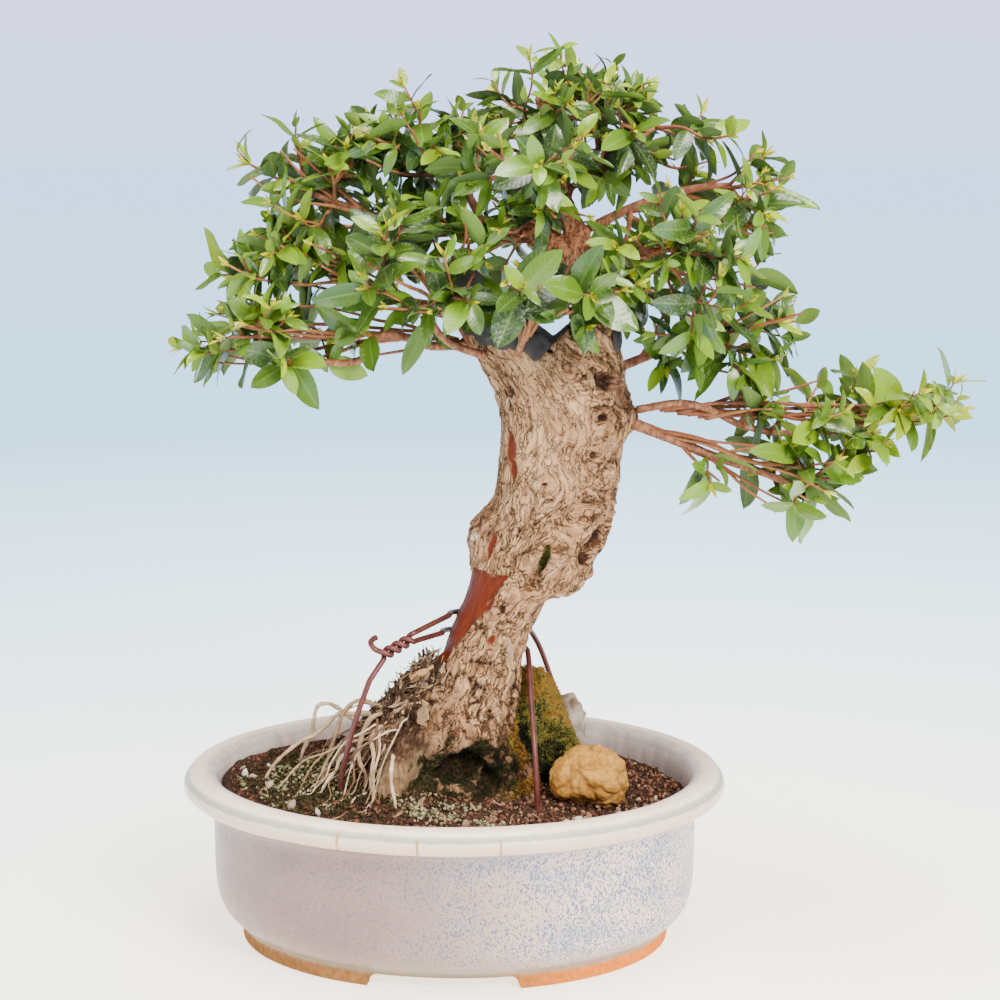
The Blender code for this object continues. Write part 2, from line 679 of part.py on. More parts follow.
def round_trunk(turn):
    """Points that follow the trunk's skin round its back."""
    first_height, last_height, first_bearing, last_bearing = turn
    points = []
    count = 9
    for k in range(count + 1):
        share = k / count
        height = first_height + (last_height - first_height) * share
        bearing = math.radians(first_bearing + (last_bearing - first_bearing) * share)
        points.append(trunk_point(height, bearing, WIRE_RADIUS + WIRE_OFF_TRUNK))
    return points


def front_wire_points():
    """Soil, twist, round the back of the trunk, and down to the soil at the front right."""
    around = round_trunk(WIRE_FRONT_TURN) + [Vector(p) for p in WIRE_FRONT_LEG]
    return smooth_route(WIRE_LEFT_LEG, 3.0) + twisted(0.25) + smooth_route(around, 3.0)


def back_wire_points():
    """Cut end, twist, round the back of the trunk, and down to the soil behind the rock."""
    around = round_trunk(WIRE_BACK_TURN) + [Vector(p) for p in WIRE_BACK_LEG]
    return smooth_route(reversed(WIRE_TAIL), 2.0) + twisted(0.75) + smooth_route(around, 3.0)


# Stones

def mossy_rock_shape(grow=0.0):
    return pebble(*MOSSY_ROCK, 2, 14, 0.16, grow)


def grey_stone_shape(grow=0.0):
    return pebble(*GREY_STONE, 2, 5, 0.10, grow)


def yellow_stone_shape(grow=0.0):
    return pebble(*YELLOW_STONE, 2, 22, 0.16, grow)


def make_stones():
    wires = [wire_shape(front_wire_points(), CLEARANCE), wire_shape(back_wire_points(), CLEARANCE)]
    around = [trunk_skin(CLEARANCE)] + root_shapes(CLEARANCE) + wires
    rock = combine("mossy_rock", mossy_rock_shape(), around, "DIFFERENCE", "MANIFOLD")
    grey_tools = around + [mossy_rock_shape(CLEARANCE)]
    grey = combine("grey_stone", grey_stone_shape(), grey_tools, "DIFFERENCE", "MANIFOLD")
    yellow_tools = grey_tools + [grey_stone_shape(CLEARANCE)]
    yellow = combine("yellow_stone", yellow_stone_shape(), yellow_tools, "DIFFERENCE", "MANIFOLD")
    return [as_node("mossy_rock", rock, "moss"), as_node("grey_stone", grey, "grey_stone"),
            as_node("yellow_stone", yellow, "yellow_stone")]


# Foliage: the same rules and draws, with more and finer leaves, dress this model elsewhere

def leaf_half_width(share):
    """Half the blade's width at a share of its length, as a share of its widest."""
    return (share ** 0.6) * ((1.0 - share) ** 0.75) / 0.3955


def leaf_point(leaf, along, across, above=0.0):
    """A point on a blade: along 0 to 1, across -1 to 1, and above its upper face."""
    base, heading, facing, length, width, curl, fold = leaf[:7]
    side = heading.cross(facing)
    half = 0.5 * width * leaf_half_width(along)
    sink = -curl * length * along * along
    return (base + heading * (length * along * (1.0 - 0.25 * curl * along)) + side * (half * across)
            + facing * (sink + fold * half * abs(across) + above))


def blade(leaf, thickness, grow=0.0):
    """A leaf as one thin closed solid: a six-sided outline about a point on the midrib."""
    base, heading, facing, length, width, curl, fold = leaf[:7]
    spread_leaf = (base - heading * grow, heading, facing, length + 2 * grow, width + 2 * grow, curl, fold)
    spots = ((0.03, 0.0), (0.30, 1.0), (0.66, 1.0), (0.995, 0.0), (0.66, -1.0), (0.30, -1.0), (0.47, 0.0))
    points = [leaf_point(spread_leaf, u, v, above) for above in (0.5 * thickness, -0.5 * thickness)
              for u, v in spots]
    faces = []
    for i in range(6):
        j = (i + 1) % 6
        faces.append((6, i, j))
        faces.append((13, 7 + j, 7 + i))
        faces.append((i, 7 + i, 7 + j, j))
    return points, faces


def pad_targets(name, count):
    """Shoot tips spread through a bough's pad, each far from those before it."""
    middle, half_sizes = Vector(BOUGHS[name][3]), BOUGHS[name][4]
    draw = random.Random(name + " pad")
    targets = []
    for _ in range(count):
        best, best_room = None, -1.0
        for _ in range(14):
            way = Vector((draw.gauss(0, 1), draw.gauss(0, 1), draw.gauss(0, 1))).normalized()
            reach = 0.45 + 0.55 * math.sqrt(draw.random())
            spot = middle + Vector([way[i] * half_sizes[i] * reach for i in range(3)])
            room = min([(spot - t).length for t in targets] + [60.0])
            room += 0.12 * (spot - CROWN_MIDDLE).length
            if room > best_room:
                best, best_room = spot, room
        targets.append(best)
    return targets


def twig_to(target, joints, draw):
    """A curved twig from the best joint on the bough's wood to a shoot tip."""
    def cost(joint):
        way = target - joint[0]
        return way.length * (1.25 - 0.45 * way.normalized().dot(joint[1]))
    start, parent_heading, parent_radius = min(joints, key=cost)
    way = (target - start).normalized()
    outward = (target - CROWN_MIDDLE).normalized()
    leave = (parent_heading * 0.45 + way + UP * 0.12).normalized()
    arrive = (way * 0.6 + outward * 0.55 + UP * draw.uniform(0.0, 0.5)).normalized()
    span = (target - start).length
    first, second = start + leave * span * 0.36, target - arrive * span * 0.36
    fine = []
    for k in range(13):
        t = k / 12
        fine.append((1 - t) ** 3 * start + 3 * t * (1 - t) ** 2 * first + 3 * t * t * (1 - t) * second
                    + t ** 3 * target)
    points = spaced(fine, 14.0)
    for i in range(1, len(points) - 1):
        points[i] += Vector([draw.uniform(-1.0, 1.0) for _ in range(3)]) * TWIG_KINK
    base_radius = min(0.85 * parent_radius, 0.75 + span * 0.012)
    return points, spread((base_radius, 0.5), len(points))


def shoot_leaves(points, draw, usual, first_pair, last_pair):
    """Opposite pairs down a shoot from its tip, each pair a quarter turn from the next."""
    fine = spaced(points, 0.5)
    twist = draw.uniform(0.0, math.pi)
    leaves = []
    for pair in range(last_pair + 1):
        back = 1.2 + pair * draw.uniform(5.5, 8.0)
        k = max(1, len(fine) - 1 - round(back / 0.5))
        axis = (fine[k] - fine[k - 1]).normalized()
        flat = axis.cross(UP)
        if flat.length < 0.2:
            flat = axis.cross(Vector((1.0, 0.0, 0.0)))
        flat.normalize()
        lift = axis.cross(flat)
        size = usual * (0.62, 0.95, 1.08, 1.05, 0.95)[min(pair, 4)]
        for half_turn in (0.0, math.pi):
            turn = twist + pair * math.pi / 2 + half_turn + draw.uniform(-0.25, 0.25)
            side = flat * math.cos(turn) + lift * math.sin(turn)
            lean = math.radians(draw.uniform(40, 60) + 6 * pair)
            heading = axis * math.cos(lean) + side * math.sin(lean)
            heading = (heading - UP * draw.uniform(0.0, 0.12 + 0.09 * pair)).normalized()
            outward = (fine[k] - CROWN_MIDDLE).normalized()
            wish = UP * 0.5 + outward * 0.55 + axis * 0.35
            wish += Vector([draw.uniform(-0.45, 0.45) for _ in range(3)])
            facing = wish - heading * wish.dot(heading)
            if facing.length < 0.15:
                facing = heading.orthogonal()
            facing.normalize()
            length = size * draw.uniform(0.8, 1.22)
            width = length * draw.uniform(0.39, 0.52)
            curl, fold = draw.uniform(0.02, 0.26), draw.uniform(0.08, 0.34)
            if pair >= first_pair:
                leaves.append((fine[k], heading, facing, length, width, curl, fold, pair))
    return leaves


def touches(shape, obstacles):
    return bool(BVHTree.FromPolygons(*shape).overlap(obstacles))


def bough_wood(name):
    """The bough's own main wood, which starts a seam's width off its stub."""
    fine, k, heading, first_radius, last_radius = bough_cut(name)
    points = spaced(fine[k + round(SEAM / 0.5):], 15.0)
    radii = spread((first_radius, last_radius), len(points))
    return points, radii, heading


def wood_joints(points, radii, skip):
    """Places that a twig can leave from: point, heading, radius."""
    joints = []
    for i in range(skip, len(points)):
        heading = (points[min(i + 1, len(points) - 1)] - points[i - 1]).normalized()
        joints.append((points[i], heading, radii[i]))
    return joints


TWIG_KINK = 1.3             # how far a twig's joints stray from a smooth curve
FREE_ROOM = 0.9             # kept round a twig or a blade when it is tested against other pieces


def grow_bough(name, obstacles):
    """All of a bough's twigs and leaves, bent or left out where they would touch other pieces."""
    shoots, usual = BOUGHS[name][5:]
    points, radii, heading = bough_wood(name)
    joints = wood_joints(points, radii, max(1, len(points) // 3))
    targets = sorted(pad_targets(name, shoots), key=lambda t: min((t - j[0]).length for j in joints))
    twigs, leaves = [], []
    for index, target in enumerate(targets):
        for attempt in range(8):
            draw = random.Random(f"{name} {index} {attempt}")
            away = Vector([draw.uniform(-1, 1) for _ in range(3)]) * 5.0 * attempt
            twig, twig_radii = twig_to(target + away, joints, draw)
            roomy = tube(twig, [r + FREE_ROOM for r in twig_radii], 3)
            if not touches(roomy, obstacles):
                break
        else:
            continue
        twigs.append((twig, twig_radii))
        joints += wood_joints(twig, twig_radii, 1)[:-1]
        for leaf in shoot_leaves(twig, draw, usual, 0, 1):
            fitted = fit_leaf(leaf, obstacles, draw)
            if fitted:
                leaves.append(fitted)
    return twigs, leaves


def fit_leaf(leaf, obstacles, draw):
    """The leaf, turned a little or shortened until it is clear of the other pieces."""
    for attempt in range(5):
        if not touches(blade(leaf, BLADE_THICKNESS + 2 * FREE_ROOM, FREE_ROOM), obstacles):
            return leaf
        base, heading, facing, length, width, curl, fold, pair = leaf
        turn = Matrix.Rotation(math.radians(draw.uniform(-40, 40)), 3, facing)
        tilt = Matrix.Rotation(math.radians(draw.uniform(-25, 25)), 3, heading.cross(facing))
        heading, facing = tilt @ (turn @ heading), tilt @ facing
        leaf = (base, heading, facing, length * 0.93, width * 0.93, curl, fold, pair)
    return None


def joined(shapes):
    """Several shapes as one list of points and faces, for testing against."""
    points, faces = [], []
    for more_points, more_faces in shapes:
        shift = len(points)
        points += more_points
        faces += [tuple(i + shift for i in face) for face in more_faces]
    return points, faces


def grow_foliage(fixed):
    """Each bough's twigs and leaves, grown in turn past the trunk, the wood and earlier boughs."""
    wood = {}
    for name in BOUGHS:
        points, radii, heading = bough_wood(name)
        sides = 5 if radii[0] > 2.3 else 4
        wood[name] = tube(points, radii, sides, first_heading=heading)
    grown, done = {}, []
    for name in BOUGHS:
        others = [wood[other] for other in BOUGHS if other != name]
        obstacles = BVHTree.FromPolygons(*joined(fixed + others + done))
        twigs, leaves = grow_bough(name, obstacles)
        grown[name] = (twigs, leaves)
        done += [tube(points, radii, 3) for points, radii in twigs]
        done += [blade(leaf, BLADE_THICKNESS) for leaf in leaves]
    return wood, grown


def make_boughs():
    fixed = [trunk_skin(0.0)] + limb_shapes() + root_shapes()
    wood, grown = grow_foliage(fixed)
    for name in BOUGHS:
        twigs, leaves = grown[name]
        pieces = [tube(points, radii, 3) for points, radii in twigs]
        pieces += [blade(leaf, BLADE_THICKNESS) for leaf in leaves]
        bough = combine(name, wood[name], pieces, "UNION", "MANIFOLD")
        as_node(name, bough, "leaf")
        print(name, len(twigs), "twigs,", len(leaves), "leaves")


def stand_on_origin():
    """Turns every mesh into metres and sets the whole tree centred on the origin."""
    things = [thing for thing in bpy.context.scene.objects if thing.type == "MESH"]
    to_metres = Matrix.Scale(0.001, 4)
    for thing in things:
        thing.data.transform(to_metres)
    corners = [vert.co for thing in things for vert in thing.data.vertices]
    middle_x = (min(c.x for c in corners) + max(c.x for c in corners)) / 2
    middle_y = (min(c.y for c in corners) + max(c.y for c in corners)) / 2
    stand = bpy.data.objects.new("bonsai", None)
    stand.location = (-middle_x, -middle_y, 0.0)
    bpy.context.scene.collection.objects.link(stand)
    for thing in things:
        thing.parent = stand


def main():
    for old in list(bpy.data.objects):
        bpy.data.objects.remove(old)
    make_pot()
    make_drain_mesh("drain_mesh_left", POT_MIDDLE - DRAIN_OFFSET)
    make_drain_mesh("drain_mesh_right", POT_MIDDLE + DRAIN_OFFSET)
    make_trunk()
    make_cut_paste()
    as_node("wire_front", mesh_object("wire_front", wire_shape(front_wire_points())), "wire")
    as_node("wire_back", mesh_object("wire_back", wire_shape(back_wire_points())), "wire")
    make_stones()
    stones = [mossy_rock_shape(CLEARANCE), grey_stone_shape(CLEARANCE), yellow_stone_shape(CLEARANCE)]
    wires = [wire_shape(front_wire_points(), CLEARANCE), wire_shape(back_wire_points(), CLEARANCE)]
    make_soil([trunk_skin(CLEARANCE)] + root_shapes(CLEARANCE) + stones + wires)
    make_boughs()
    stand_on_origin()


main()
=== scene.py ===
# Common myrtle bonsai: the finish of every surface, over the fixed frame of solids.
#
# Shapes are worked out in millimetres about the middle of the pot, with the table at z = 0, and
# buildPiece turns them into metres where the frame has the pot.

import itertools
import json
import math
import random

import bmesh
import bpy
import numpy as np
from mathutils import Matrix, Vector
from mathutils.bvhtree import BVHTree

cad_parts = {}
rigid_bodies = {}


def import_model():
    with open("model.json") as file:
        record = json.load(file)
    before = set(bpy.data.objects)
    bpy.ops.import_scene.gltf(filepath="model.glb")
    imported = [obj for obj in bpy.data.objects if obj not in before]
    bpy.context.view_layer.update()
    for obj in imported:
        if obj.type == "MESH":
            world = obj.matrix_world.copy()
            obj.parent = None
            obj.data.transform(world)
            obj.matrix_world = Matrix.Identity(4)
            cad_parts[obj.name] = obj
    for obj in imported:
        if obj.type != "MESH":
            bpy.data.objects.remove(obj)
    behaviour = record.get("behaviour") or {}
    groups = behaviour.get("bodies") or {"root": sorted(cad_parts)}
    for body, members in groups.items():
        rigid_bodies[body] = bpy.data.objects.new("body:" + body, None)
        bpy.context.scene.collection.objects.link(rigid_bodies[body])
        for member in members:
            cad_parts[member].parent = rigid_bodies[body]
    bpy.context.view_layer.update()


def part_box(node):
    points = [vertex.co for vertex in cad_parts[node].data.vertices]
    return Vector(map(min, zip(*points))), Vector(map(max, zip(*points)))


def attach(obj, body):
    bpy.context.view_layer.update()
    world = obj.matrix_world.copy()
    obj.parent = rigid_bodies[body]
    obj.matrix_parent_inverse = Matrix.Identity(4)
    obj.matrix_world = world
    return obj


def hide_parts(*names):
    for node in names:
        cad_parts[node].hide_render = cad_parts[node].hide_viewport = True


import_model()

# Sizes of the tree and its pot in millimetres, the same as in the solids
potHalfLength = 138     # outside of the rim
potHeight = 88
potMiddle = 2           # the pot's middle stands this far right of the layout's middle
ovalSqueeze = 25        # every oval's half width is this much less than its half length
footHalfLength = 108.7
footHeight = 8.5
recessHeight = 9.5      # underside of the floor, inside the foot ring
floorHeight = 15        # top of the floor, under the soil
footGapWidth = 72       # the passage between the two feet
drainOffset = 55
drainRadius = 9
soilLevel = 77.5
soilTilt = 0.03         # the soil rises this much for each millimetre to the left
wireRadius = 1.4
seam = 0.6              # between a bough and its stub on the trunk
bladeThickness = 0.62
mergeDistance = 0.0015  # closes the slivers that a union leaves
# half length and height of each corner of the pot's wall, from under its floor round to the inside
potProfile = (
    (footHalfLength - 11, recessHeight),
    (footHalfLength - 9.5, 0),
    (footHalfLength, 0),
    (footHalfLength + 0.6, footHeight),
    (potHalfLength - 25, 11.5),
    (potHalfLength - 19, 18),
    (potHalfLength - 16, 29),
    (potHalfLength - 15.5, 70),
    (potHalfLength - 11, 74.5),
    (potHalfLength - 2, 77),
    (potHalfLength, 82),
    (potHalfLength - 5, potHeight),
    (potHalfLength - 14, potHeight),
    (potHalfLength - 17.5, 85.5),
    (potHalfLength - 19.5, 80),
    (potHalfLength - 26, 24),
    (potHalfLength - 32, floorHeight),
)
# x, y, height and the spreads along x and y of each mound on the soil
soilMounds = (
    (-56, -8, 10.5, 38, 36), (-12, -36, 4, 30, 20), (44, 8, 4.5, 30, 26), (84, -34, -2, 26, 20),
)
# height, middle x, middle y, half width and half depth of the trunk
trunkSections = (
    (64, 8, 0, 38, 35), (84, 7, 0, 35, 33), (104, 8, 0, 30, 29), (120, 9, 0, 26.5, 26.5),
    (132, 12.5, 0, 23, 25), (148, 16.5, 0, 20.8, 24), (160, 21.2, 0, 21.5, 24), (172, 28, 0, 23, 25),
    (184, 34.5, 0, 25.5, 26), (200, 42, 0, 31, 28), (214, 47.5, 0, 32.5, 29), (230, 53.2, 0, 30.3, 29),
    (250, 54.5, 0, 30, 29), (266, 55.2, 0, 30.2, 29), (280, 52.5, 0, 30.5, 28), (292, 46, 0, 30, 26.5),
    (304, 37, -1, 27, 24), (316, 30, -1.5, 25, 21.5), (330, 24, -2, 24, 18.5), (350, 17, -2, 22, 15),
)
# height, bearing, swell, spread up and down in mm and round in degrees: burls, and hollows below 0
trunkLumps = (
    (185, -24, 10.5, 10, 26), (168, -20, -3, 8, 28), (267, -4, 9.5, 9, 26), (283, 8, 4, 8, 26),
    (211, -166, 4.5, 10, 26), (222, 120, 5, 14, 30), (250, 60, -4, 16, 24), (178, 95, -3, 20, 26),
    (205, -36, -5, 6.5, 13), (193, -79, -6.5, 8, 10), (231, -98, -3.5, 13, 8), (282, -38, -5, 6, 12),
    (92, -74, -11, 9, 24), (86, -124, 9, 16, 17), (84, -20, 6, 14, 18), (84, 75, 8, 18, 20),
    (86, 150, 6, 18, 22),
)
# the saw cut runs down to the right from its high end and stops at the leader
sawCutHigh = Vector((3, 0, 344))
sawCutLow = Vector((49, 0, 303))
sawStopTop = Vector((66, 0, 320))
# each limb's route and its radii along it
leader = (
    ((66, 2, 262), (69, 2, 284), (70.5, 1, 303), (70, 0, 318), (69, 0, 331), (66, 2, 346), (60, 4, 362),
     (54, 6, 380), (50, 8, 395)),
    (19, 17.5, 15.5, 12.5, 9, 7, 5.6, 4.4, 3.4),
)
leftLimb = (
    ((68, 1, 338), (54, 0, 350), (37, -3, 357), (18, -5, 360), (0, -6, 359), (-15, -8, 358)),
    (6, 4.8, 4.2, 3.8, 3.3, 3),
)
# each root's route, and its radii at both ends
thickRoots = (
    (((4, -6, 143), (-12, -10, 131), (-26, -14, 115), (-35, -18, 98), (-40, -20, 72)), 10, 8),
    (((2, 6, 136), (-20, 8, 122), (-42, 10, 103), (-60, 10, 74)), 10, 6),
    (((-10, -20, 108), (-22, -30, 96), (-30, -36, 76)), 11, 8),
    (((26, 14, 112), (32, 32, 96), (30, 48, 70)), 10, 6.5),
)
thinRoots = (
    (((-28, -14, 122), (-46, -16, 125), (-56, -22, 112), (-62, -28, 92), (-66, -32, 76)), 1.8, 0.9),
    (((-30, -18, 120), (-40, -24, 120), (-42, -29, 106), (-41, -33, 92), (-40, -36, 74)), 1.9, 1.1),
    (((-30, -20, 114), (-36, -32, 114), (-36, -40, 98), (-35, -45, 86), (-34, -48, 74)), 1.7, 0.9),
    (((-34, -14, 116), (-54, -8, 117), (-70, -8, 104), (-88, -16, 91), (-98, -24, 76)), 1.9, 0.9),
    (((-44, 6, 106), (-60, 2, 116), (-66, 0, 121), (-70, 0, 108), (-78, 2, 78)), 1.7, 1),
    (((-40, -20, 104), (-52, -28, 100), (-60, -36, 88), (-64, -40, 74)), 1.5, 0.8),
    (((-26, -30, 102), (-27, -42, 100), (-25, -48, 88), (-24, -52, 74)), 1.5, 0.9),
)
# the wires' routes, and the heights and bearings between which they go round the trunk
wireLeftLeg = ((-51.5, -38, 68), (-51.5, -38, 88), (-47.5, -39, 108), (-43, -39.5, 124), (-37, -36.5, 141))
twistStart = Vector((-31, -31.5, 152.5))
twistEnd = Vector((-16.5, -22, 159.5))
twistTurns = 2
twistRadius = wireRadius + 0.65
wireOffTrunk = 1.5  # between trunk and wire where it bends round
wireFrontTurn = (158, 145, 192, 2)
wireBackTurn = (167, 158, 190, 50)
wireFrontLeg = ((41.5, -15, 128), (43.5, -29, 110), (45, -35, 92), (46, -37, 68))
wireBackLeg = ((43, 34, 144), (49, 41, 126), (55, 44, 104), (58, 45, 68))
wireTail = ((-35, -33.5, 156.5), (-37, -30, 159), (-34.5, -26.5, 160.5))
# middle, half sizes and turn in degrees of each stone
mossyRock = (Vector((44, 10, 94)), Vector((23, 24, 44)), -12)
greyStone = (Vector((61, 17, 103)), Vector((8.5, 11, 19)), 18)
yellowStone = (Vector((71, -19, 89)), Vector((20, 13.5, 15)), 8)
# route of the main wood, its radii at both ends, middle and half sizes of the pad of leaves, number of
# twigs in the solid, and the usual length of a leaf
boughs = {
    "bough_low_left": (
        ((20, -6, 300), (5, -9, 306), (-3, -15, 303), (-19, -22, 308), (-29, -25, 314), (-36, -30, 301),
         (-52, -32, 297), (-87, -35, 303)),
        2.3, 1.2, (-78, -31, 309), (45, 34, 20), 7, 27),
    "bough_left_middle": (
        ((14, 2, 310), (-4, 2, 318), (-22, -4, 325), (-42, -12, 334), (-64, -18, 343)),
        2.2, 1.2, (-74, -22, 344), (38, 36, 23), 4, 26),
    "bough_front_left": (
        ((26, -12, 296), (13, -24, 302), (0, -31, 309), (-7, -36, 325), (4, -38, 342), (12, -40, 352)),
        2, 1.1, (-8, -50, 346), (36, 24, 34), 5, 26),
    "bough_front": (
        ((34, -18, 296), (36, -28, 304), (42, -38, 318), (52, -42, 330), (70, -44, 339)),
        1.8, 1, (52, -56, 336), (38, 18, 18), 3, 27),
    "bough_left_high": (
        ((-10, -8, 358), (-21, -9, 359), (-42, -12, 368), (-70, -15, 379)),
        2.6, 1.2, (-66, -12, 378), (38, 34, 26), 5, 24),
    "bough_left_back": (
        ((0, -6, 359), (-6, 6, 361), (-24, 26, 361), (-46, 44, 358)),
        2.2, 1.1, (-52, 46, 350), (42, 30, 30), 3, 24),
    "bough_top_left": (
        ((18, -5, 360), (14, -7, 370), (4, -9, 386), (-10, -10, 400)),
        2.2, 1.1, (-16, -12, 402), (34, 36, 22), 5, 23),
    "bough_top_front": (
        ((60, 4, 362), (56, -6, 369), (51, -24, 380), (46, -38, 390)),
        2.2, 1.1, (40, -48, 384), (40, 26, 28), 4, 24),
    "bough_top": (
        ((51, 8, 388), (49, 8, 400), (46, 6, 412), (43, 4, 422)),
        2.6, 1.2, (51, 5, 419), (45, 38, 18), 6, 21),
    "bough_top_right": (
        ((56, 6, 374), (66, 5, 384), (82, 4, 398), (100, 2, 408)),
        2.4, 1.1, (102, 0, 405), (40, 36, 25), 4, 23),
    "bough_right_high": (
        ((62, 4, 356), (74, 1, 362), (92, -3, 371), (116, -6, 379), (136, -6, 381)),
        2.4, 1.1, (138, -4, 373), (34, 36, 26), 4, 24),
    "bough_right_front": (
        ((67, 0, 340), (77, -10, 345), (90, -24, 350), (110, -36, 352)),
        2, 1.1, (112, -46, 342), (40, 24, 30), 5, 26),
    "bough_right_middle": (
        ((74, 12, 287), (88, 15, 291), (102, 16, 297), (120, 15, 304), (146, 13, 310)),
        2.4, 1.2, (142, 2, 315), (36, 36, 31), 5, 25),
    "bough_right_back": (
        ((70, 4, 326), (78, 13, 331), (92, 27, 338), (110, 42, 343)),
        2.2, 1.1, (108, 50, 344), (42, 30, 32), 3, 24),
    "bough_back": (
        ((66, 4, 345), (60, 16, 350), (50, 34, 355), (38, 52, 358)),
        2.2, 1.1, (28, 60, 352), (44, 28, 34), 3, 24),
    "bough_back_top": (
        ((54, 8, 380), (50, 18, 387), (42, 32, 396), (34, 44, 402)),
        2, 1.1, (30, 44, 396), (40, 34, 24), 3, 23),
    "bough_tail": (
        ((86, -3, 270), (96, -5, 272), (110, -7, 275), (124, -8, 274), (138, -8, 267), (153, -8, 262),
         (176, -9, 261), (204, -10, 265), (232, -12, 279)),
        1.9, 1.1, (199, -9, 273), (57, 26, 17), 8, 27),
    "bough_low_right": (
        ((84, -6, 267), (94, -8, 264), (108, -10, 259), (124, -12, 252), (140, -14, 247), (153, -15, 243),
         (172, -18, 235)),
        2.8, 1.5, (164, -15, 243), (37, 26, 20), 5, 26),
}
stubLength = 7  # of each bough's route that stays on the trunk, measured from its limb's skin
crownMiddle = Vector((38, 0, 335))
up = Vector((0, 0, 1))
twigKink = 1.3  # how far a twig's joints stray from a smooth curve
freeRoom = 0.9  # kept round a twig or a blade when it is tested against other pieces
trunkSides = 18
trunkRings = 22


# Points about a step apart on a Catmull-Rom curve through the given ones.
def smoothRoute(points, step):
    knots = [Vector(p) for p in points]
    knots = [2 * knots[0] - knots[1]] + knots + [2 * knots[-1] - knots[-2]]
    fine = []
    for a, b, c, d in zip(knots, knots[1:], knots[2:], knots[3:]):
        for k in range(12):
            t = k / 12
            fine.append(0.5 * (2 * b + (c - a) * t + (2 * a - 5 * b + 4 * c - d) * t * t
                               + (3 * b - 3 * c + d - a) * t ** 3))
    fine.append(knots[-2])
    return spaced(fine, step)


# The polyline again, with its points evenly spaced.
def spaced(fine, step):
    reach = [0, *itertools.accumulate((b - a).length for a, b in zip(fine, fine[1:]))]
    count = max(2, round(reach[-1] / step))
    even = []
    k = 0
    for i in range(count + 1):
        goal = reach[-1] * i / count
        while k < len(reach) - 2 and reach[k + 1] < goal:
            k += 1
        span = max(reach[k + 1] - reach[k], 1e-9)
        even.append(fine[k].lerp(fine[k + 1], (goal - reach[k]) / span))
    return even


# A vector whose three parts are drawn between the reach and minus the reach.
def jitter(draw, reach):
    return Vector([draw.uniform(-reach, reach) for _ in range(3)])


# Any heading at all.
def anyWay(draw):
    return Vector([draw.gauss(0, 1) for _ in range(3)]).normalized()


# The direction turned square to the heading.
def squared(direction, heading):
    return (direction - heading * direction.dot(heading)).normalized()


# A spot in a pad of foliage, the given share of the way out.
def inPad(middle, halfSizes, way, share):
    return middle + Vector([way[i] * halfSizes[i] * share for i in range(3)])


# A list of values stretched to the given number of them.
def spread(values, count):
    out = []
    for i in range(count):
        t = (len(values) - 1) * i / (count - 1)
        k = min(int(t), len(values) - 2)
        out.append(values[k] + (values[k + 1] - values[k]) * (t - k))
    return out


# A closed skin over rings of equal count, capped at both ends.
def loft(rings, triangles=False):
    sides = len(rings[0])
    points = [p for ring in rings for p in ring]
    faces = [tuple(reversed(range(sides)))]
    for k in range(len(rings) - 1):
        low = k * sides
        for i in range(sides):
            j = (i + 1) % sides
            quad = (low + i, low + j, low + sides + j, low + sides + i)
            faces += [quad[:3], (quad[0], *quad[2:])] if triangles else [quad]
    top = (len(rings) - 1) * sides
    faces.append(tuple(range(top, top + sides)))
    return points, faces


# A round bar through the points.
def tube(points, radii, sides, firstHeading=None, lastHeading=None, triangles=False):
    rings = []
    side = None
    last = len(points) - 1
    for i, point in enumerate(points):
        heading = (points[min(i + 1, last)] - points[max(i - 1, 0)]).normalized()
        if i == 0 and firstHeading:
            heading = firstHeading
        if i == last and lastHeading:
            heading = lastHeading
        if side is None:
            side = heading.orthogonal()
        side = squared(side, heading)
        other = heading.cross(side)
        turns = [2 * math.pi * k / sides for k in range(sides)]
        rings.append([point + (side * math.cos(turn) + other * math.sin(turn)) * radii[i]
                      for turn in turns])
    return loft(rings, triangles)


# A lumpy stone: an icosphere with seeded knobs.
def pebble(middle, halfSizes, turnDegrees, detail, knobs, roughness):
    bm = bmesh.new()
    bmesh.ops.create_icosphere(bm, subdivisions=detail, radius=1)
    turn = Matrix.Rotation(math.radians(turnDegrees), 3, "Z")
    draw = random.Random(knobs)
    bumps = []
    for _ in range(knobs):
        bumps.append((jitter(draw, 1).normalized(), draw.uniform(-1, 1) * roughness))
    points = []
    for vert in bm.verts:
        way = vert.co.normalized()
        size = 1 + sum(lift * math.exp(-(way - b).length_squared / 0.18) for b, lift in bumps)
        points.append(middle + turn @ Vector([way[i] * (halfSizes[i] * size) for i in range(3)]))
    faces = [tuple(v.index for v in face.verts) for face in bm.faces]
    bm.free()
    return points, faces


def meshObject(name, shape):
    mesh = bpy.data.meshes.new(name)
    mesh.from_pydata([tuple(p) for p in shape[0]], [], shape[1])
    mesh.update()
    return bpy.data.objects.new(name, mesh)


# The shape joined with, or cut by, all the tools, as one plain mesh object.
def combine(name, shape, tools, operation, solver="EXACT"):
    result = meshObject(name, shape)
    bpy.context.scene.collection.objects.link(result)
    helpers = bpy.data.collections.new(name + "_tools")
    bpy.context.scene.collection.children.link(helpers)
    for tool in tools:
        helpers.objects.link(meshObject(name + "_tool", tool))
    step = result.modifiers.new("combine", "BOOLEAN")
    step.operation = operation
    step.operand_type = "COLLECTION"
    step.collection = helpers
    step.solver = solver
    bpy.context.view_layer.update()
    seen = result.evaluated_get(bpy.context.evaluated_depsgraph_get())
    mesh = bpy.data.meshes.new_from_object(seen)
    result.modifiers.clear()
    result.data = mesh
    for helper in list(helpers.objects):
        bpy.data.objects.remove(helper)
    bpy.data.collections.remove(helpers)
    keepMainBody(result)
    return result


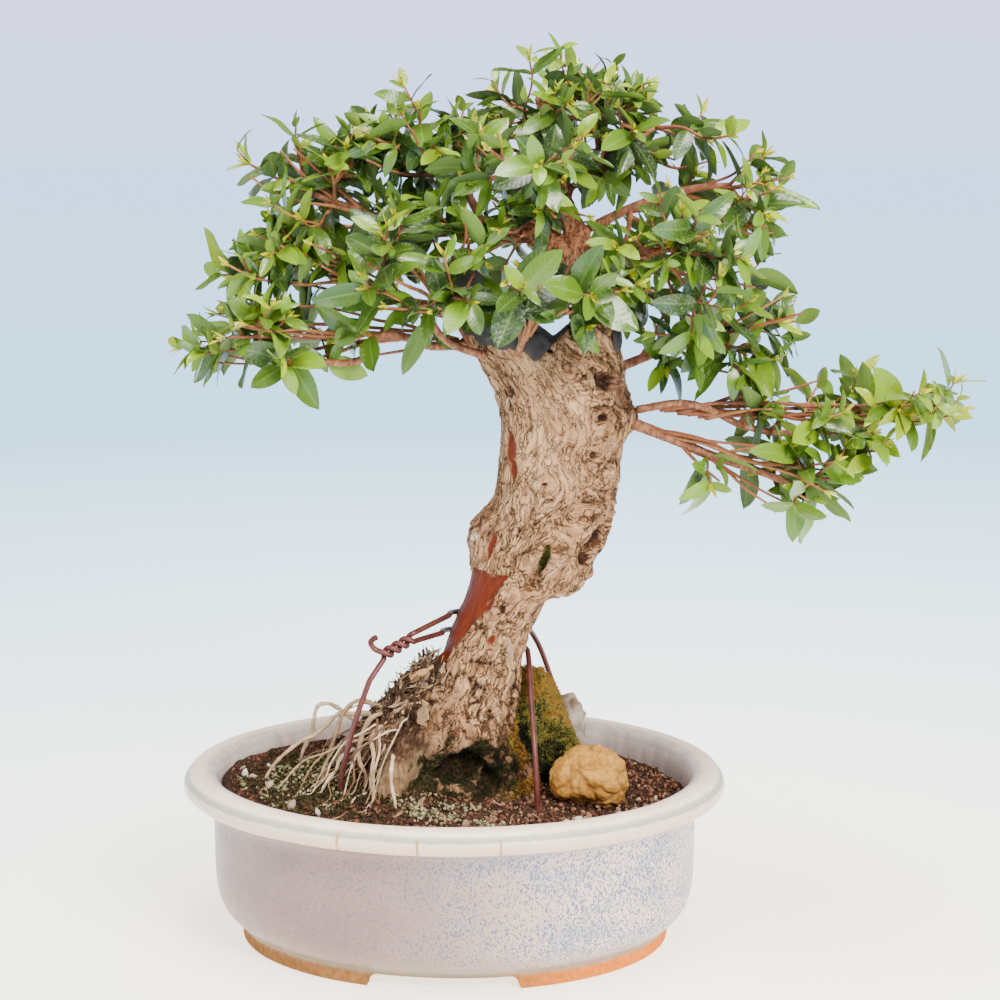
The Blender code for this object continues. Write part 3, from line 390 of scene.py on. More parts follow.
# Drops loose scraps and fills sealed hollows: only the largest closed skin stays.
def keepMainBody(thing):
    bm = bmesh.new()
    bm.from_mesh(thing.data)
    bmesh.ops.remove_doubles(bm, verts=bm.verts, dist=mergeDistance)
    bodies = []
    left = set(bm.faces)
    while left:
        body = [left.pop()]
        for face in body:
            for edge in face.edges:
                for other in edge.link_faces:
                    if other in left:
                        left.remove(other)
                        body.append(other)
        bodies.append(body)
    bodies.sort(key=len)
    scraps = [face for body in bodies[:-1] for face in body]
    bmesh.ops.delete(bm, geom=scraps, context="FACES")
    loose = [vert for vert in bm.verts if not vert.link_faces]
    bmesh.ops.delete(bm, geom=loose, context="VERTS")
    bm.to_mesh(thing.data)
    bm.free()


# Middle x, middle y, half width and half depth at a height.
def trunkSection(height):
    rows = trunkSections
    k = 0
    while k < len(rows) - 2 and rows[k + 1][0] < height:
        k += 1
    before, low, high, after = rows[max(k - 1, 0)], rows[k], rows[k + 1], rows[min(k + 2, len(rows) - 1)]
    t = (height - low[0]) / (high[0] - low[0])
    out = []
    for i in range(1, 5):
        start = (high[i] - before[i]) / (high[0] - before[0]) * (high[0] - low[0])
        end = (after[i] - low[i]) / (after[0] - low[0]) * (high[0] - low[0])
        out.append((2 * t ** 3 - 3 * t * t + 1) * low[i] + (t ** 3 - 2 * t * t + t) * start
                   + (3 * t * t - 2 * t ** 3) * high[i] + (t ** 3 - t * t) * end)
    return out


# A point on the trunk's skin, with its burls and hollows.
def trunkPoint(height, bearing, grow):
    middleX, middleY, halfWidth, halfDepth = trunkSection(height)
    swell = grow
    for lumpHeight, lumpBearing, depth, spreadUp, spreadRound in trunkLumps:
        off = (math.degrees(bearing) - lumpBearing + 180) % 360 - 180
        swell += depth * math.exp(-((height - lumpHeight) / spreadUp) ** 2 - (off / spreadRound) ** 2)
    return Vector((middleX + (halfWidth + swell) * math.cos(bearing),
                   middleY + (halfDepth + swell) * math.sin(bearing), height))


# The block of wood that the saw took away, moved off the cut by the shift.
def sawWedge(shift):
    slope = (sawCutLow - sawCutHigh).normalized()
    facing = Vector((-slope.z, 0, slope.x))
    reach = 60
    outline = [sawCutHigh - slope * reach, sawCutLow, sawStopTop, sawStopTop + up * reach]
    outline.append(Vector((outline[0].x, 0, outline[-1].z)))
    return loft([[point + facing * shift + Vector((0, y, 0)) for point in outline[::-1]]
                 for y in (-reach, reach)])


# Rings up the trunk's skin, without its limbs.
def trunkRound(ringCount, sides, grow=0):
    low, high = trunkSections[0][0], trunkSections[-1][0]
    rings = []
    for k in range(ringCount):
        height = low + (high - low) * k / (ringCount - 1)
        rings.append([trunkPoint(height, 2 * math.pi * i / sides, grow) for i in range(sides)])
    return rings


# The trunk as in the solids, sawn off slantwise at the left of its top.
def trunkSkin():
    skin = loft(trunkRound(trunkRings, trunkSides), triangles=True)
    return shapeFrom(combine("trunk_skin", skin, [sawWedge(0)], "DIFFERENCE"))


# An object's mesh as a (points, faces) pair again; the object goes.
def shapeFrom(thing):
    points = [vert.co.copy() for vert in thing.data.vertices]
    faces = [tuple(face.vertices) for face in thing.data.polygons]
    bpy.data.objects.remove(thing)
    return points, faces


# A smooth limb or root that tapers along its route.
def limb(route, radii, step, sides):
    points = smoothRoute(route, step)
    return tube(points, spread(radii, len(points)), sides, triangles=True)


def rootShapes():
    shapes = [limb(route, radii, 16, 7) for route, *radii in thickRoots]
    return shapes + [limb(route, radii, 13, 4) for route, *radii in thinRoots]


# A bough's smooth route, and the place along it where stub and bough part.
def boughCut(name):
    route, firstRadius, lastRadius = boughs[name][:3]
    fine = smoothRoute(route, 0.5)
    reach = stubLength + (Vector(route[1]) - Vector(route[0])).length * 0.5
    k = round(reach / 0.5)
    heading = (fine[k + 2] - fine[k - 2]).normalized()
    return fine, k, heading, firstRadius, lastRadius


def stubShape(name):
    fine, k, heading, radius, _ = boughCut(name)
    return tube([fine[0], fine[k]], [radius] * 2, 5, lastHeading=heading)


def limbShapes():
    return [limb(*leader, 14, 9), limb(*leftLimb, 14, 6)] + [stubShape(name) for name in boughs]


# One strand of the twist, a helix about the line between its two ends.
def twisted(phase):
    axis = (twistEnd - twistStart).normalized()
    side = axis.cross(up).normalized()
    other = axis.cross(side)
    count = 18
    points = []
    for k in range(count + 1):
        share = k / count
        turn = 2 * math.pi * (twistTurns * share + phase)
        middle = twistStart.lerp(twistEnd, share)
        away = side * math.cos(turn) + other * math.sin(turn)
        points.append(middle + away * twistRadius)
    return points


# Points that follow the trunk's skin round its back.
def roundTrunk(turn):
    firstHeight, lastHeight, firstBearing, lastBearing = turn
    points = []
    count = 9
    for k in range(count + 1):
        share = k / count
        height = firstHeight + (lastHeight - firstHeight) * share
        bearing = math.radians(firstBearing + (lastBearing - firstBearing) * share)
        points.append(trunkPoint(height, bearing, wireRadius + wireOffTrunk))
    return points


# Soil, twist, round the back of the trunk, and down to the soil at the front right.
def frontWirePoints():
    around = roundTrunk(wireFrontTurn) + [Vector(p) for p in wireFrontLeg]
    return smoothRoute(wireLeftLeg, 3) + twisted(0.25) + smoothRoute(around, 3)


# Cut end, twist, round the back of the trunk, and down to the soil behind the rock.
def backWirePoints():
    around = roundTrunk(wireBackTurn) + [Vector(p) for p in wireBackLeg]
    return smoothRoute(reversed(wireTail), 2) + twisted(0.75) + smoothRoute(around, 3)


# Half the blade's width at a share of its length, as a share of its widest.
def leafHalfWidth(share):
    return (share ** 0.6) * ((1 - share) ** 0.75) / 0.3955


# A point on a blade: along 0 to 1, across -1 to 1, and above its upper face.
def leafPoint(leaf, along, across, above=0):
    base, heading, facing, length, width, curl, fold = leaf[:7]
    side = heading.cross(facing)
    half = 0.5 * width * leafHalfWidth(along)
    sink = -curl * length * along * along
    return (base + heading * (length * along * (1 - 0.25 * curl * along)) + side * (half * across)
            + facing * (sink + fold * half * abs(across) + above))


# A leaf as one thin closed solid: a six-sided outline about a point on the midrib.
def blade(leaf, thickness, grow=0):
    base, heading, facing, length, width, curl, fold = leaf[:7]
    spreadLeaf = (base - heading * grow, heading, facing, length + 2 * grow, width + 2 * grow, curl, fold)
    spots = ((0.03, 0), (0.3, 1), (0.66, 1), (0.995, 0), (0.66, -1), (0.3, -1), (0.47, 0))
    points = [leafPoint(spreadLeaf, u, v, above) for above in (0.5 * thickness, -0.5 * thickness)
              for u, v in spots]
    faces = []
    for i in range(6):
        j = (i + 1) % 6
        faces.append((6, i, j))
        faces.append((13, 7 + j, 7 + i))
        faces.append((i, 7 + i, 7 + j, j))
    return points, faces


# Shoot tips spread through a bough's pad, each far from those before it.
def padTargets(name, count):
    middle, halfSizes = Vector(boughs[name][3]), boughs[name][4]
    draw = random.Random(name + " pad")
    targets = []
    for _ in range(count):
        best, bestRoom = None, -1
        for _ in range(14):
            way = anyWay(draw)
            place = inPad(middle, halfSizes, way, 0.45 + 0.55 * math.sqrt(draw.random()))
            room = min([(place - t).length for t in targets] + [60])
            room += 0.12 * (place - crownMiddle).length
            if room > bestRoom:
                best, bestRoom = place, room
        targets.append(best)
    return targets


# A curved twig from the best joint on the bough's wood to a shoot tip.
def twigTo(target, joints, draw):
    def cost(joint):
        way = target - joint[0]
        return way.length * (1.25 - 0.45 * way.normalized().dot(joint[1]))
    start, parentHeading, parentRadius = min(joints, key=cost)
    way = (target - start).normalized()
    outward = (target - crownMiddle).normalized()
    leave = (parentHeading * 0.45 + way + up * 0.12).normalized()
    arrive = (way * 0.6 + outward * 0.55 + up * draw.uniform(0, 0.5)).normalized()
    span = (target - start).length
    first, second = start + leave * span * 0.36, target - arrive * span * 0.36
    fine = []
    for k in range(13):
        t = k / 12
        fine.append((1 - t) ** 3 * start + 3 * t * (1 - t) ** 2 * first + 3 * t * t * (1 - t) * second
                    + t ** 3 * target)
    points = spaced(fine, 14)
    for i in range(1, len(points) - 1):
        points[i] += jitter(draw, 1) * twigKink
    baseRadius = min(0.85 * parentRadius, 0.75 + span * 0.012)
    return points, spread((baseRadius, 0.5), len(points))


# Opposite pairs down a shoot from its tip, each pair a quarter turn from the next.
def shootLeaves(points, draw, usual, firstPair, lastPair):
    fine = spaced(points, 0.5)
    twist = draw.uniform(0, math.pi)
    leaves = []
    for pair in range(lastPair + 1):
        back = 1.2 + pair * draw.uniform(5.5, 8)
        k = max(1, len(fine) - 1 - round(back / 0.5))
        axis = (fine[k] - fine[k - 1]).normalized()
        flat = axis.cross(up)
        if flat.length < 0.2:
            flat = axis.cross(Vector((1, 0, 0)))
        flat.normalize()
        lift = axis.cross(flat)
        size = usual * (0.62, 0.95, 1.08, 1.05, 0.95)[min(pair, 4)]
        for halfTurn in (0, math.pi):
            turn = twist + pair * math.pi / 2 + halfTurn + draw.uniform(-0.25, 0.25)
            side = flat * math.cos(turn) + lift * math.sin(turn)
            lean = math.radians(draw.uniform(40, 60) + 6 * pair)
            heading = axis * math.cos(lean) + side * math.sin(lean)
            heading = (heading - up * draw.uniform(0, 0.12 + 0.09 * pair)).normalized()
            outward = (fine[k] - crownMiddle).normalized()
            wish = up * 0.5 + outward * 0.55 + axis * 0.35 + jitter(draw, 0.45)
            facing = wish - heading * wish.dot(heading)
            if facing.length < 0.15:
                facing = heading.orthogonal()
            facing.normalize()
            length = size * draw.uniform(0.8, 1.22)
            width = length * draw.uniform(0.39, 0.52)
            curl, fold = draw.uniform(0.02, 0.26), draw.uniform(0.08, 0.34)
            if pair >= firstPair:
                leaves.append((fine[k], heading, facing, length, width, curl, fold, pair))
    return leaves


def touches(shape, obstacles):
    return bool(BVHTree.FromPolygons(*shape).overlap(obstacles))


def hasRoom(twig, radii, obstacles):
    return not touches(tube(twig, [radius + freeRoom for radius in radii], 3), obstacles)


# The bough's own main wood, which starts a seam's width off its stub.
def boughWood(name):
    fine, k, heading, firstRadius, lastRadius = boughCut(name)
    points = spaced(fine[k + round(seam / 0.5):], 15)
    radii = spread((firstRadius, lastRadius), len(points))
    return points, radii, heading


# Places that a twig can leave from: point, heading, radius.
def woodJoints(points, radii, skip):
    joints = []
    for i in range(skip, len(points)):
        heading = (points[min(i + 1, len(points) - 1)] - points[i - 1]).normalized()
        joints.append((points[i], heading, radii[i]))
    return joints


# All of a bough's twigs and leaves, bent or left out where they would touch other pieces.
def growBough(name, obstacles):
    shoots, usual = boughs[name][5:]
    points, radii, heading = boughWood(name)
    joints = woodJoints(points, radii, max(1, len(points) // 3))
    targets = sorted(padTargets(name, shoots), key=lambda t: min((t - j[0]).length for j in joints))
    twigs, leaves = [], []
    for index, target in enumerate(targets):
        for attempt in range(8):
            draw = random.Random(f"{name} {index} {attempt}")
            away = jitter(draw, 1) * 5 * attempt
            twig, twigRadii = twigTo(target + away, joints, draw)
            if hasRoom(twig, twigRadii, obstacles):
                break
        else:
            continue
        twigs.append((twig, twigRadii))
        joints += woodJoints(twig, twigRadii, 1)[:-1]
        for leaf in shootLeaves(twig, draw, usual, 0, 1):
            fitted = fitLeaf(leaf, obstacles, draw)
            if fitted:
                leaves.append(fitted)
    return twigs, leaves


# The leaf, turned a little or shortened until it is clear of the other pieces.
def fitLeaf(leaf, obstacles, draw):
    for attempt in range(5):
        if not touches(blade(leaf, bladeThickness + 2 * freeRoom, freeRoom), obstacles):
            return leaf
        base, heading, facing, length, width, curl, fold, pair = leaf
        turn = Matrix.Rotation(math.radians(draw.uniform(-40, 40)), 3, facing)
        tilt = Matrix.Rotation(math.radians(draw.uniform(-25, 25)), 3, heading.cross(facing))
        heading, facing = tilt @ (turn @ heading), tilt @ facing
        leaf = (base, heading, facing, length * 0.93, width * 0.93, curl, fold, pair)
    return None


# Several shapes as one list of points and faces, for testing against.
def joined(shapes):
    points, faces = [], []
    for morePoints, moreFaces in shapes:
        shift = len(points)
        points += morePoints
        faces += [tuple(i + shift for i in face) for face in moreFaces]
    return points, faces


# Each bough's twigs and leaves, grown in turn past the trunk, the wood and earlier boughs.
def growFoliage(fixed):
    wood = {}
    for name in boughs:
        points, radii, heading = boughWood(name)
        sides = 5 if radii[0] > 2.3 else 4
        wood[name] = tube(points, radii, sides, firstHeading=heading)
    grown, done = {}, []
    for name in boughs:
        others = [wood[other] for other in boughs if other != name]
        obstacles = BVHTree.FromPolygons(*joined(fixed + others + done))
        twigs, leaves = growBough(name, obstacles)
        grown[name] = (twigs, leaves)
        done += [tube(points, radii, 3) for points, radii in twigs]
        done += [blade(leaf, bladeThickness) for leaf in leaves]
    return grown


def soilHeight(x, y):
    height = soilLevel - soilTilt * x
    for moundX, moundY, lift, spreadX, spreadY in soilMounds:
        height += lift * math.exp(-((x - moundX) / spreadX) ** 2 - ((y - moundY) / spreadY) ** 2)
    return height


# The pot's inner half length at a height between the floor's curve and the rim.
def wallInside(height):
    low, high = potProfile[-2], potProfile[-3]
    return low[0] + (high[0] - low[0]) * (height - low[1]) / (high[1] - low[1])


def ovalRing(halfLength, height, sides):
    halfWidth = halfLength - ovalSqueeze
    turns = [2 * math.pi * k / sides for k in range(sides)]
    return [Vector((potMiddle + halfLength * math.cos(turn), halfWidth * math.sin(turn), height))
            for turn in turns]


# Where the layout's middle lies in the frame, in metres
potLow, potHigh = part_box("pot")
layoutMiddle = Vector(((potLow.x + potHigh.x) / 2 - potMiddle / 1000, (potLow.y + potHigh.y) / 2, 0))


# Smooth random values, about -1 to 1, that change over the given size in mm.
def cloud(spots, size, seed, layers=1):
    table = np.random.default_rng(seed).uniform(-1, 1, (32, 32, 32))
    total = np.zeros(len(spots))
    share, weight = 1, 0
    for layer in range(layers):
        grid = spots / size + seed * 0.37 + layer * 5.3
        cell = np.floor(grid).astype(int)
        t = grid - cell
        t = t * t * (3 - 2 * t)
        value = np.zeros(len(spots))
        for corner in itertools.product((0, 1), repeat=3):
            part = np.ones(len(spots))
            for axis in range(3):
                part *= t[:, axis] if corner[axis] else 1 - t[:, axis]
            i, j, k = ((cell + corner) % 32).T
            value += part * table[i, j, k]
        total += value * share
        weight += share
        share *= 0.5
        size = size / 2.03
    return total * 1.6 / weight


# Scattered plates: distance to the nearest centre, room to the next one, and a number for each plate.
def plates(spots, size, seed):
    draws = np.random.default_rng(seed)
    centres = draws.uniform(0.08, 0.92, (24, 24, 24, 3))
    numbers = draws.random((24, 24, 24))
    grid = spots / size
    home = np.floor(grid).astype(int)
    first = np.full(len(spots), 9)
    second = np.full(len(spots), 9)
    number = np.zeros(len(spots))
    for step in itertools.product((-1, 0, 1), repeat=3):
        cell = home + step
        i, j, k = (cell % 24).T
        away = np.linalg.norm(cell + centres[i, j, k] - grid, axis=1)
        nearer = away < first
        second = np.where(nearer, first, np.minimum(second, away))
        number = np.where(nearer, numbers[i, j, k], number)
        first = np.where(nearer, away, first)
    return first, second - first, number


# A smooth step from 0 to 1 between two values.
def rise(value, low, high):
    t = np.clip((value - low) / (high - low), 0, 1)
    return t * t * (3 - 2 * t)


# One field of all the vertices or faces of a mesh, as an array with a row for each.
def rowsOf(elements, field, width=3):
    values = np.empty(len(elements) * width)
    elements.foreach_get(field, values)
    return values.reshape(-1, 3) if width == 3 else values


# A plain shape's points as an array, with their outward directions.
def skinOf(shape):
    mesh = bpy.data.meshes.new("skin")
    mesh.from_pydata([tuple(p) for p in shape[0]], [], shape[1])
    ways = rowsOf(mesh.vertices, "normal")
    bpy.data.meshes.remove(mesh)
    return np.array([tuple(p) for p in shape[0]]), ways


# Several closed shapes melted into one even skin, with their seams smoothed out.
def melted(shapes, voxel, rounds):
    thing = meshObject("melted", joined(shapes))
    bpy.context.scene.collection.objects.link(thing)
    remesh = thing.modifiers.new("melt", "REMESH")
    remesh.mode = "VOXEL"
    remesh.voxel_size = voxel
    soften = thing.modifiers.new("soften", "SMOOTH")
    soften.factor = 0.5
    soften.iterations = rounds
    bpy.context.view_layer.update()
    mesh = bpy.data.meshes.new_from_object(thing.evaluated_get(bpy.context.evaluated_depsgraph_get()))
    points, ways = rowsOf(mesh.vertices, "co"), rowsOf(mesh.vertices, "normal")
    faces = [tuple(face.vertices) for face in mesh.polygons]
    bpy.data.meshes.remove(mesh)
    bpy.data.objects.remove(thing)
    return points, ways, faces


# Makes an object of a shape in mm, sets its finish, and puts it in the frame.
def buildPiece(name, points, faces, finishes, replaced=(), marks=None, faceFinish=None, sharp=None):
    mesh = bpy.data.meshes.new(name)
    if isinstance(points, list):
        points = [tuple(p) for p in points]
    places = np.asarray(points, float) / 1000 + np.array(layoutMiddle)
    mesh.from_pydata(places.tolist(), [], faces)
    for finish in finishes:
        mesh.materials.append(finish)
    if faceFinish is not None:
        mesh.polygons.foreach_set("material_index", faceFinish)
    mesh.shade_smooth()
    if sharp:
        mesh.set_sharp_from_angle(angle=math.radians(sharp))
    for mark, values in (marks or {}).items():
        values = np.asarray(values, float)
        kind, field = ("FLOAT", "value") if values.ndim == 1 else ("FLOAT_VECTOR", "vector")
        layer = mesh.attributes.new(mark, kind, "POINT")
        layer.data.foreach_set(field, values.ravel())
    mesh.update()
    piece = bpy.data.objects.new(name, mesh)
    bpy.context.scene.collection.objects.link(piece)
    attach(piece, "root")
    if replaced:
        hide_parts(*replaced)
    mesh.calc_loop_triangles()
    print("made", name, len(mesh.loop_triangles), "triangles")
    return piece


# Writes one finish as a chain of shader nodes: sizes are given in mm, and places are in metres.
class Finish:
    def __init__(self, name, roughness, shine, metal=0):
        self.material = bpy.data.materials.new(name)
        self.material.use_nodes = True
        self.tree = self.material.node_tree
        self.shader = self.tree.nodes["Principled BSDF"]
        for socket, value in (("Roughness", roughness), ("Specular IOR Level", shine), ("Metallic", metal)):
            self.shader.inputs[socket].default_value = value
        self.place = self.add("ShaderNodeTexCoord").outputs["Object"]

    def add(self, kind, sockets=None, **settings):
        node = self.tree.nodes.new(kind)
        for key, value in settings.items():
            setattr(node, key, value)
        for key, value in (sockets or {}).items():
            if isinstance(value, bpy.types.NodeSocket):
                self.tree.links.new(value, node.inputs[key])
            else:
                node.inputs[key].default_value = value
        return node

    def mark(self, name, output="Fac"):
        return self.add("ShaderNodeAttribute", attribute_name=name).outputs[output]

    # the places, drawn together along each axis by the given shares
    def stretched(self, stretch):
        if not stretch:
            return self.place
        return self.add("ShaderNodeMapping", {"Vector": self.place, "Scale": stretch}).outputs["Vector"]

    def noise(self, size, detail=3, stretch=None, roughness=0.55):
        sockets = {"Vector": self.stretched(stretch), "Scale": 1000 / size, "Detail": detail,
                   "Roughness": roughness}
        return self.add("ShaderNodeTexNoise", sockets).outputs["Fac"]

    # thin lines where a noise passes its middle: 0 on a line
    def ridges(self, size, detail, stretch):
        return self.maths("ABSOLUTE", self.less(self.noise(size, detail, stretch), 0.5))

    # scattered cells: the distance to the nearest border, in cell sizes, and a number for each cell
    def cells(self, size, stretch):
        sockets = {"Vector": self.stretched(stretch), "Scale": 1000 / size}
        border = self.add("ShaderNodeTexVoronoi", sockets, feature="DISTANCE_TO_EDGE").outputs["Distance"]
        return border, self.add("ShaderNodeTexVoronoi", sockets).outputs["Color"]

    # places shifted about by up to a few mm, so that lines drawn there run crooked
    def crooked(self, reach, size):
        sockets = {"Vector": self.place, "Scale": 1000 / size, "Detail": 2}
        noise = self.add("ShaderNodeTexNoise", sockets).outputs["Color"]
        centred = self.add("ShaderNodeVectorMath", {0: noise, 1: (-0.5, -0.5, -0.5)}, operation="ADD")
        sockets = {0: centred.outputs["Vector"], "Scale": 2 * reach / 1000}
        shift = self.add("ShaderNodeVectorMath", sockets, operation="SCALE")
        sockets = {0: self.place, 1: shift.outputs["Vector"]}
        return self.add("ShaderNodeVectorMath", sockets, operation="ADD").outputs["Vector"]

    # each stop is a place along the ramp with one value, or with a colour's three
    def ramp(self, value, *stops):
        node = self.add("ShaderNodeValToRGB", {"Fac": value})
        ramp = node.color_ramp
        while len(ramp.elements) < len(stops):
            ramp.elements.new(0.5)
        for element, (place, *colour) in zip(ramp.elements, stops):
            element.position = place
            element.color = (*(colour * 3)[:3], 1)
        return node.outputs["Color"]

    def mix(self, share, first, second):
        node = self.add("ShaderNodeMix", {0: share}, data_type="RGBA")
        for key, value in ((6, first), (7, second)):
            if isinstance(value, bpy.types.NodeSocket):
                self.tree.links.new(value, node.inputs[key])
            else:
                node.inputs[key].default_value = (*value, 1)
        return node.outputs[2]

    # the base with another colour over it, as strongly as the value's stops say
    def over(self, base, colour, value, *stops):
        return self.mix(self.ramp(value, *stops), base, colour)

    def maths(self, operation, first, second=0):
        return self.add("ShaderNodeMath", {0: first, 1: second}, operation=operation).outputs["Value"]

    def times(self, first, second):
        return self.maths("MULTIPLY", first, second)

    def plus(self, first, second):
        return self.maths("ADD", first, second)

    def less(self, first, second):
        return self.maths("SUBTRACT", first, second)

    def larger(self, first, second):
        return self.maths("MAXIMUM", first, second)

    def link(self, value, socket):
        self.tree.links.new(value, self.shader.inputs[socket])

    def colour(self, value):
        self.link(value, "Base Color")

    def rough(self, value):
        self.link(value, "Roughness")

    # each height is a pattern with its depth in mm
    def bumps(self, *heights):
        under = None
        for height, depth in heights:
            sockets = {"Height": height, "Distance": depth / 1000, "Strength": 1}
            if under:
                sockets["Normal"] = under
            under = self.add("ShaderNodeBump", sockets).outputs["Normal"]
        self.link(under, "Normal")


# A finish of one run of colours over a noise, given by its size and detail, or over a mark, given by
# its name. Each grain of its bumps is a noise's size, detail and depth.
def plainFinish(name, roughness, shine, pattern, stops, *grains):
    f = Finish(name, roughness, shine)
    f.colour(f.ramp(f.mark(pattern) if isinstance(pattern, str) else f.noise(*pattern), *stops))
    if grains:
        f.bumps(*[(f.noise(size, detail), depth) for size, detail, depth in grains])
    return f.material


# Trunk bark

barkCare = {
    "sides": 90, "rings": 140,               # of the skin before it is melted
    "voxel": 1.28, "softening": 2,           # of the melted skin, and how often it is smoothed
    "plateSize": 6.6, "plateStretch": 1.75,  # scaly plates, low down and on the right
    "stripSize": 4.6, "stripStretch": 3.2,   # long plates, upper left
    "limbSize": 5.4, "limbStretch": 2.4,     # deep cracks on the leader
    "plateDepth": 1.1, "stripDepth": 0.6, "limbDepth": 2.2,
    "plateCurl": 0.9, "stripCurl": 0.5,      # how far single plates stand out
    "peelDepth": 1.3, "peelLip": 0.7,        # of the peeled strip, and the raised bark along it
    "deepest": 8.5, "highest": 2.6,          # how far the relief goes at most
}
brown, tan = (0.2, 0.088, 0.035), (0.36, 0.18, 0.08)
light, cream = (0.46, 0.245, 0.116), (0.59, 0.355, 0.185)
# hollows sunk into the trunk, which the finish fills with painted shade
# height, bearing in degrees, spread up and down in mm, spread round in degrees, depth
shadedHollows = (
    (211, -24, 8.5, 17, 6),
    (199, -31, 3.6, 8, 3.2),
    (229, -17, 4, 8, 2.8),
    (238, -13, 3, 6, 2.2),
    (270, -46, 3, 7, 3.4),
    (252, -55, 2.4, 5, 2.6),
    (286, -27, 5.5, 11, 4.6),
    (237.4, -101, 1.6, 4.5, 3),
    (303, -62, 2.2, 4.5, 2),
    (94, -92, 8, 24, 7),
    (86, -62, 8, 14, 6),
)
undercut = (173.5, -14, 4, 34, 5)  # below the nose that sticks out on the right
mossHollow = (200, -77, 9.5, 4.8, 6.5)
# height, bearing, radius in mm and height of the raised ring round a knot
knotRims = (
    (270, -46, 6.5, 1.5), (252, -55, 5.5, 1.3), (286, -27, 9.5, 1.6), (211, -24, 14, 2.2),
    (261, -50, 4, 1.1), (200, -77, 12, 1.4), (237.4, -101, 7, 0.7), (240, -40, 9, 1),
    (222, -62, 8, 0.9), (290, -58, 7, 0.9),
)
# height, bearing and both spreads of patches of red wood, of rough spots and of dark burls, which have
# a strength as well
redPatches = ((254, -142, 10.5, 9), (244, -137, 6, 7), (159, -85, 3.2, 7),
              (177, -113, 4.4, 4), (205, -134, 8.5, 4))
roughSpots = ((216, -152, 13, 30), (186, -24, 12, 32), (272, -5, 16, 26), (232, -12, 16, 20))
darkBurls = ((272, 0, 12, 24, 1), (213, -148, 8, 22, 0.55), (228, -6, 12, 12, 0.6),
             (286, -20, 7, 12, 0.8))
paleWound = (208.7, -154, 2.1, 4.6)
# the peeled strip: height and bearing along its right edge, its left edge's bearing, and its ends
peelRight = ((136, -172), (142, -155), (147, -141), (165, -124), (178, -115), (192, -104))
peelLeft, peelBottom, peelTop = -206, 138, 192


# The trunk's skin in fine steps, sawn off as the solid is.
def fineSkin(grow, cutShift):
    skin = loft(trunkRound(barkCare["rings"], barkCare["sides"], grow))
    return shapeFrom(combine("fine_skin", skin, [sawWedge(cutShift)], "DIFFERENCE", "MANIFOLD"))


# Height, bearing and nearness to the axis of each point, as the trunk's own sections give them.
def onTrunk(points):
    heights = [row[0] for row in trunkSections]
    column = [np.interp(points[:, 2], heights, [row[i] for row in trunkSections]) for i in range(1, 5)]
    along, across = (points[:, 0] - column[0]) / column[2], (points[:, 1] - column[1]) / column[3]
    bearing = np.degrees(np.arctan2(across, along))
    return points[:, 2], bearing, np.hypot(along, across)


def turned(bearing, goal):
    return (bearing - goal + 180) % 360 - 180


# A soft spot of the given spreads at a height and bearing.
def spot(height, bearing, middle, goal, spreadUp, spreadRound):
    return np.exp(-((height - middle) / spreadUp) ** 2 - (turned(bearing, goal) / spreadRound) ** 2)


# Where the bark has peeled to the smooth red wood: above 0 inside, in mm from the edge.
def peelMargin(points, height, bearing):
    wrapped = np.where(bearing > 60, bearing - 360, bearing)
    right = np.interp(height, [row[0] for row in peelRight], [row[1] for row in peelRight])
    ragged = cloud(points, 5, 31, 2) * 2.2
    mmPerDegree = 0.42
    margin = np.minimum((right - wrapped) * mmPerDegree, (wrapped - peelLeft) * mmPerDegree) + ragged * 0.7
    return np.minimum(margin, np.minimum(height - peelBottom, peelTop - height) + ragged)


# Places bent so that a grain of upright lines follows the trunk's lean and flows round its knots.
def grainPlaces(points, height, bearing):
    rows = [row[0] for row in trunkSections]
    middle = np.column_stack([np.interp(height, rows, [row[i] for row in trunkSections]) for i in (1, 2)])
    bent = points.copy()
    radius = np.hypot(points[:, 0] - middle[:, 0], points[:, 1] - middle[:, 1])
    for goalHeight, goalBearing, reach, _ in knotRims:
        across = np.radians(turned(bearing, goalBearing)) * radius
        away = across ** 2 + (height - goalHeight) ** 2
        shift = -across * (reach * 0.75) ** 2 / np.maximum(away, (reach * 0.75) ** 2)
        angle = np.radians(bearing)
        bent[:, 0] -= np.sin(angle) * shift
        bent[:, 1] += np.cos(angle) * shift
    bent[:, 0] -= middle[:, 0]
    bent += np.column_stack([cloud(points, 11, 70 + k, 2) for k in range(3)]) * 1.8
    return bent


# Plates over stretched cells: how near a crack each point is, and its plate's number.
def barkPlates(grain, kind, seed, width):
    stretch = np.array((1, 1, 1 / barkCare[kind + "Stretch"]))
    _, room, number = plates(grain * stretch, barkCare[kind + "Size"], seed)
    return 1 - rise(room, 0, width), number


# How strongly each kind of bark shows at each point, from 0 to 1.
def barkRegions(points, height, bearing, nearness):
    fine = rise(height, 222, 246) * rise(-bearing, 40, 80) * rise(bearing, -230, -150)
    heap = rise(nearness, 1.06, 1.26) * rise(-points[:, 0], 4, 12) * rise(150 - height, 0, 6)
    return {
        "below": rise(-height, -318, -306) * (nearness < 1.6),  # the trunk under its limbs
        "leader": rise(height, 294, 312) * rise(points[:, 0], 48, 58),
        "limb": rise(height, 338, 352),
        "fine": fine,  # the long plates, upper left
        "smooth": fine * rise(-bearing, 48, 70) * rise(bearing, -128, -104),
        "roots": rise(118 - height, 0, 14) * rise(-points[:, 0], 0, 14),
        "heap": heap * rise(height + cloud(points, 9, 77, 2) * 5, 96, 106),
    }


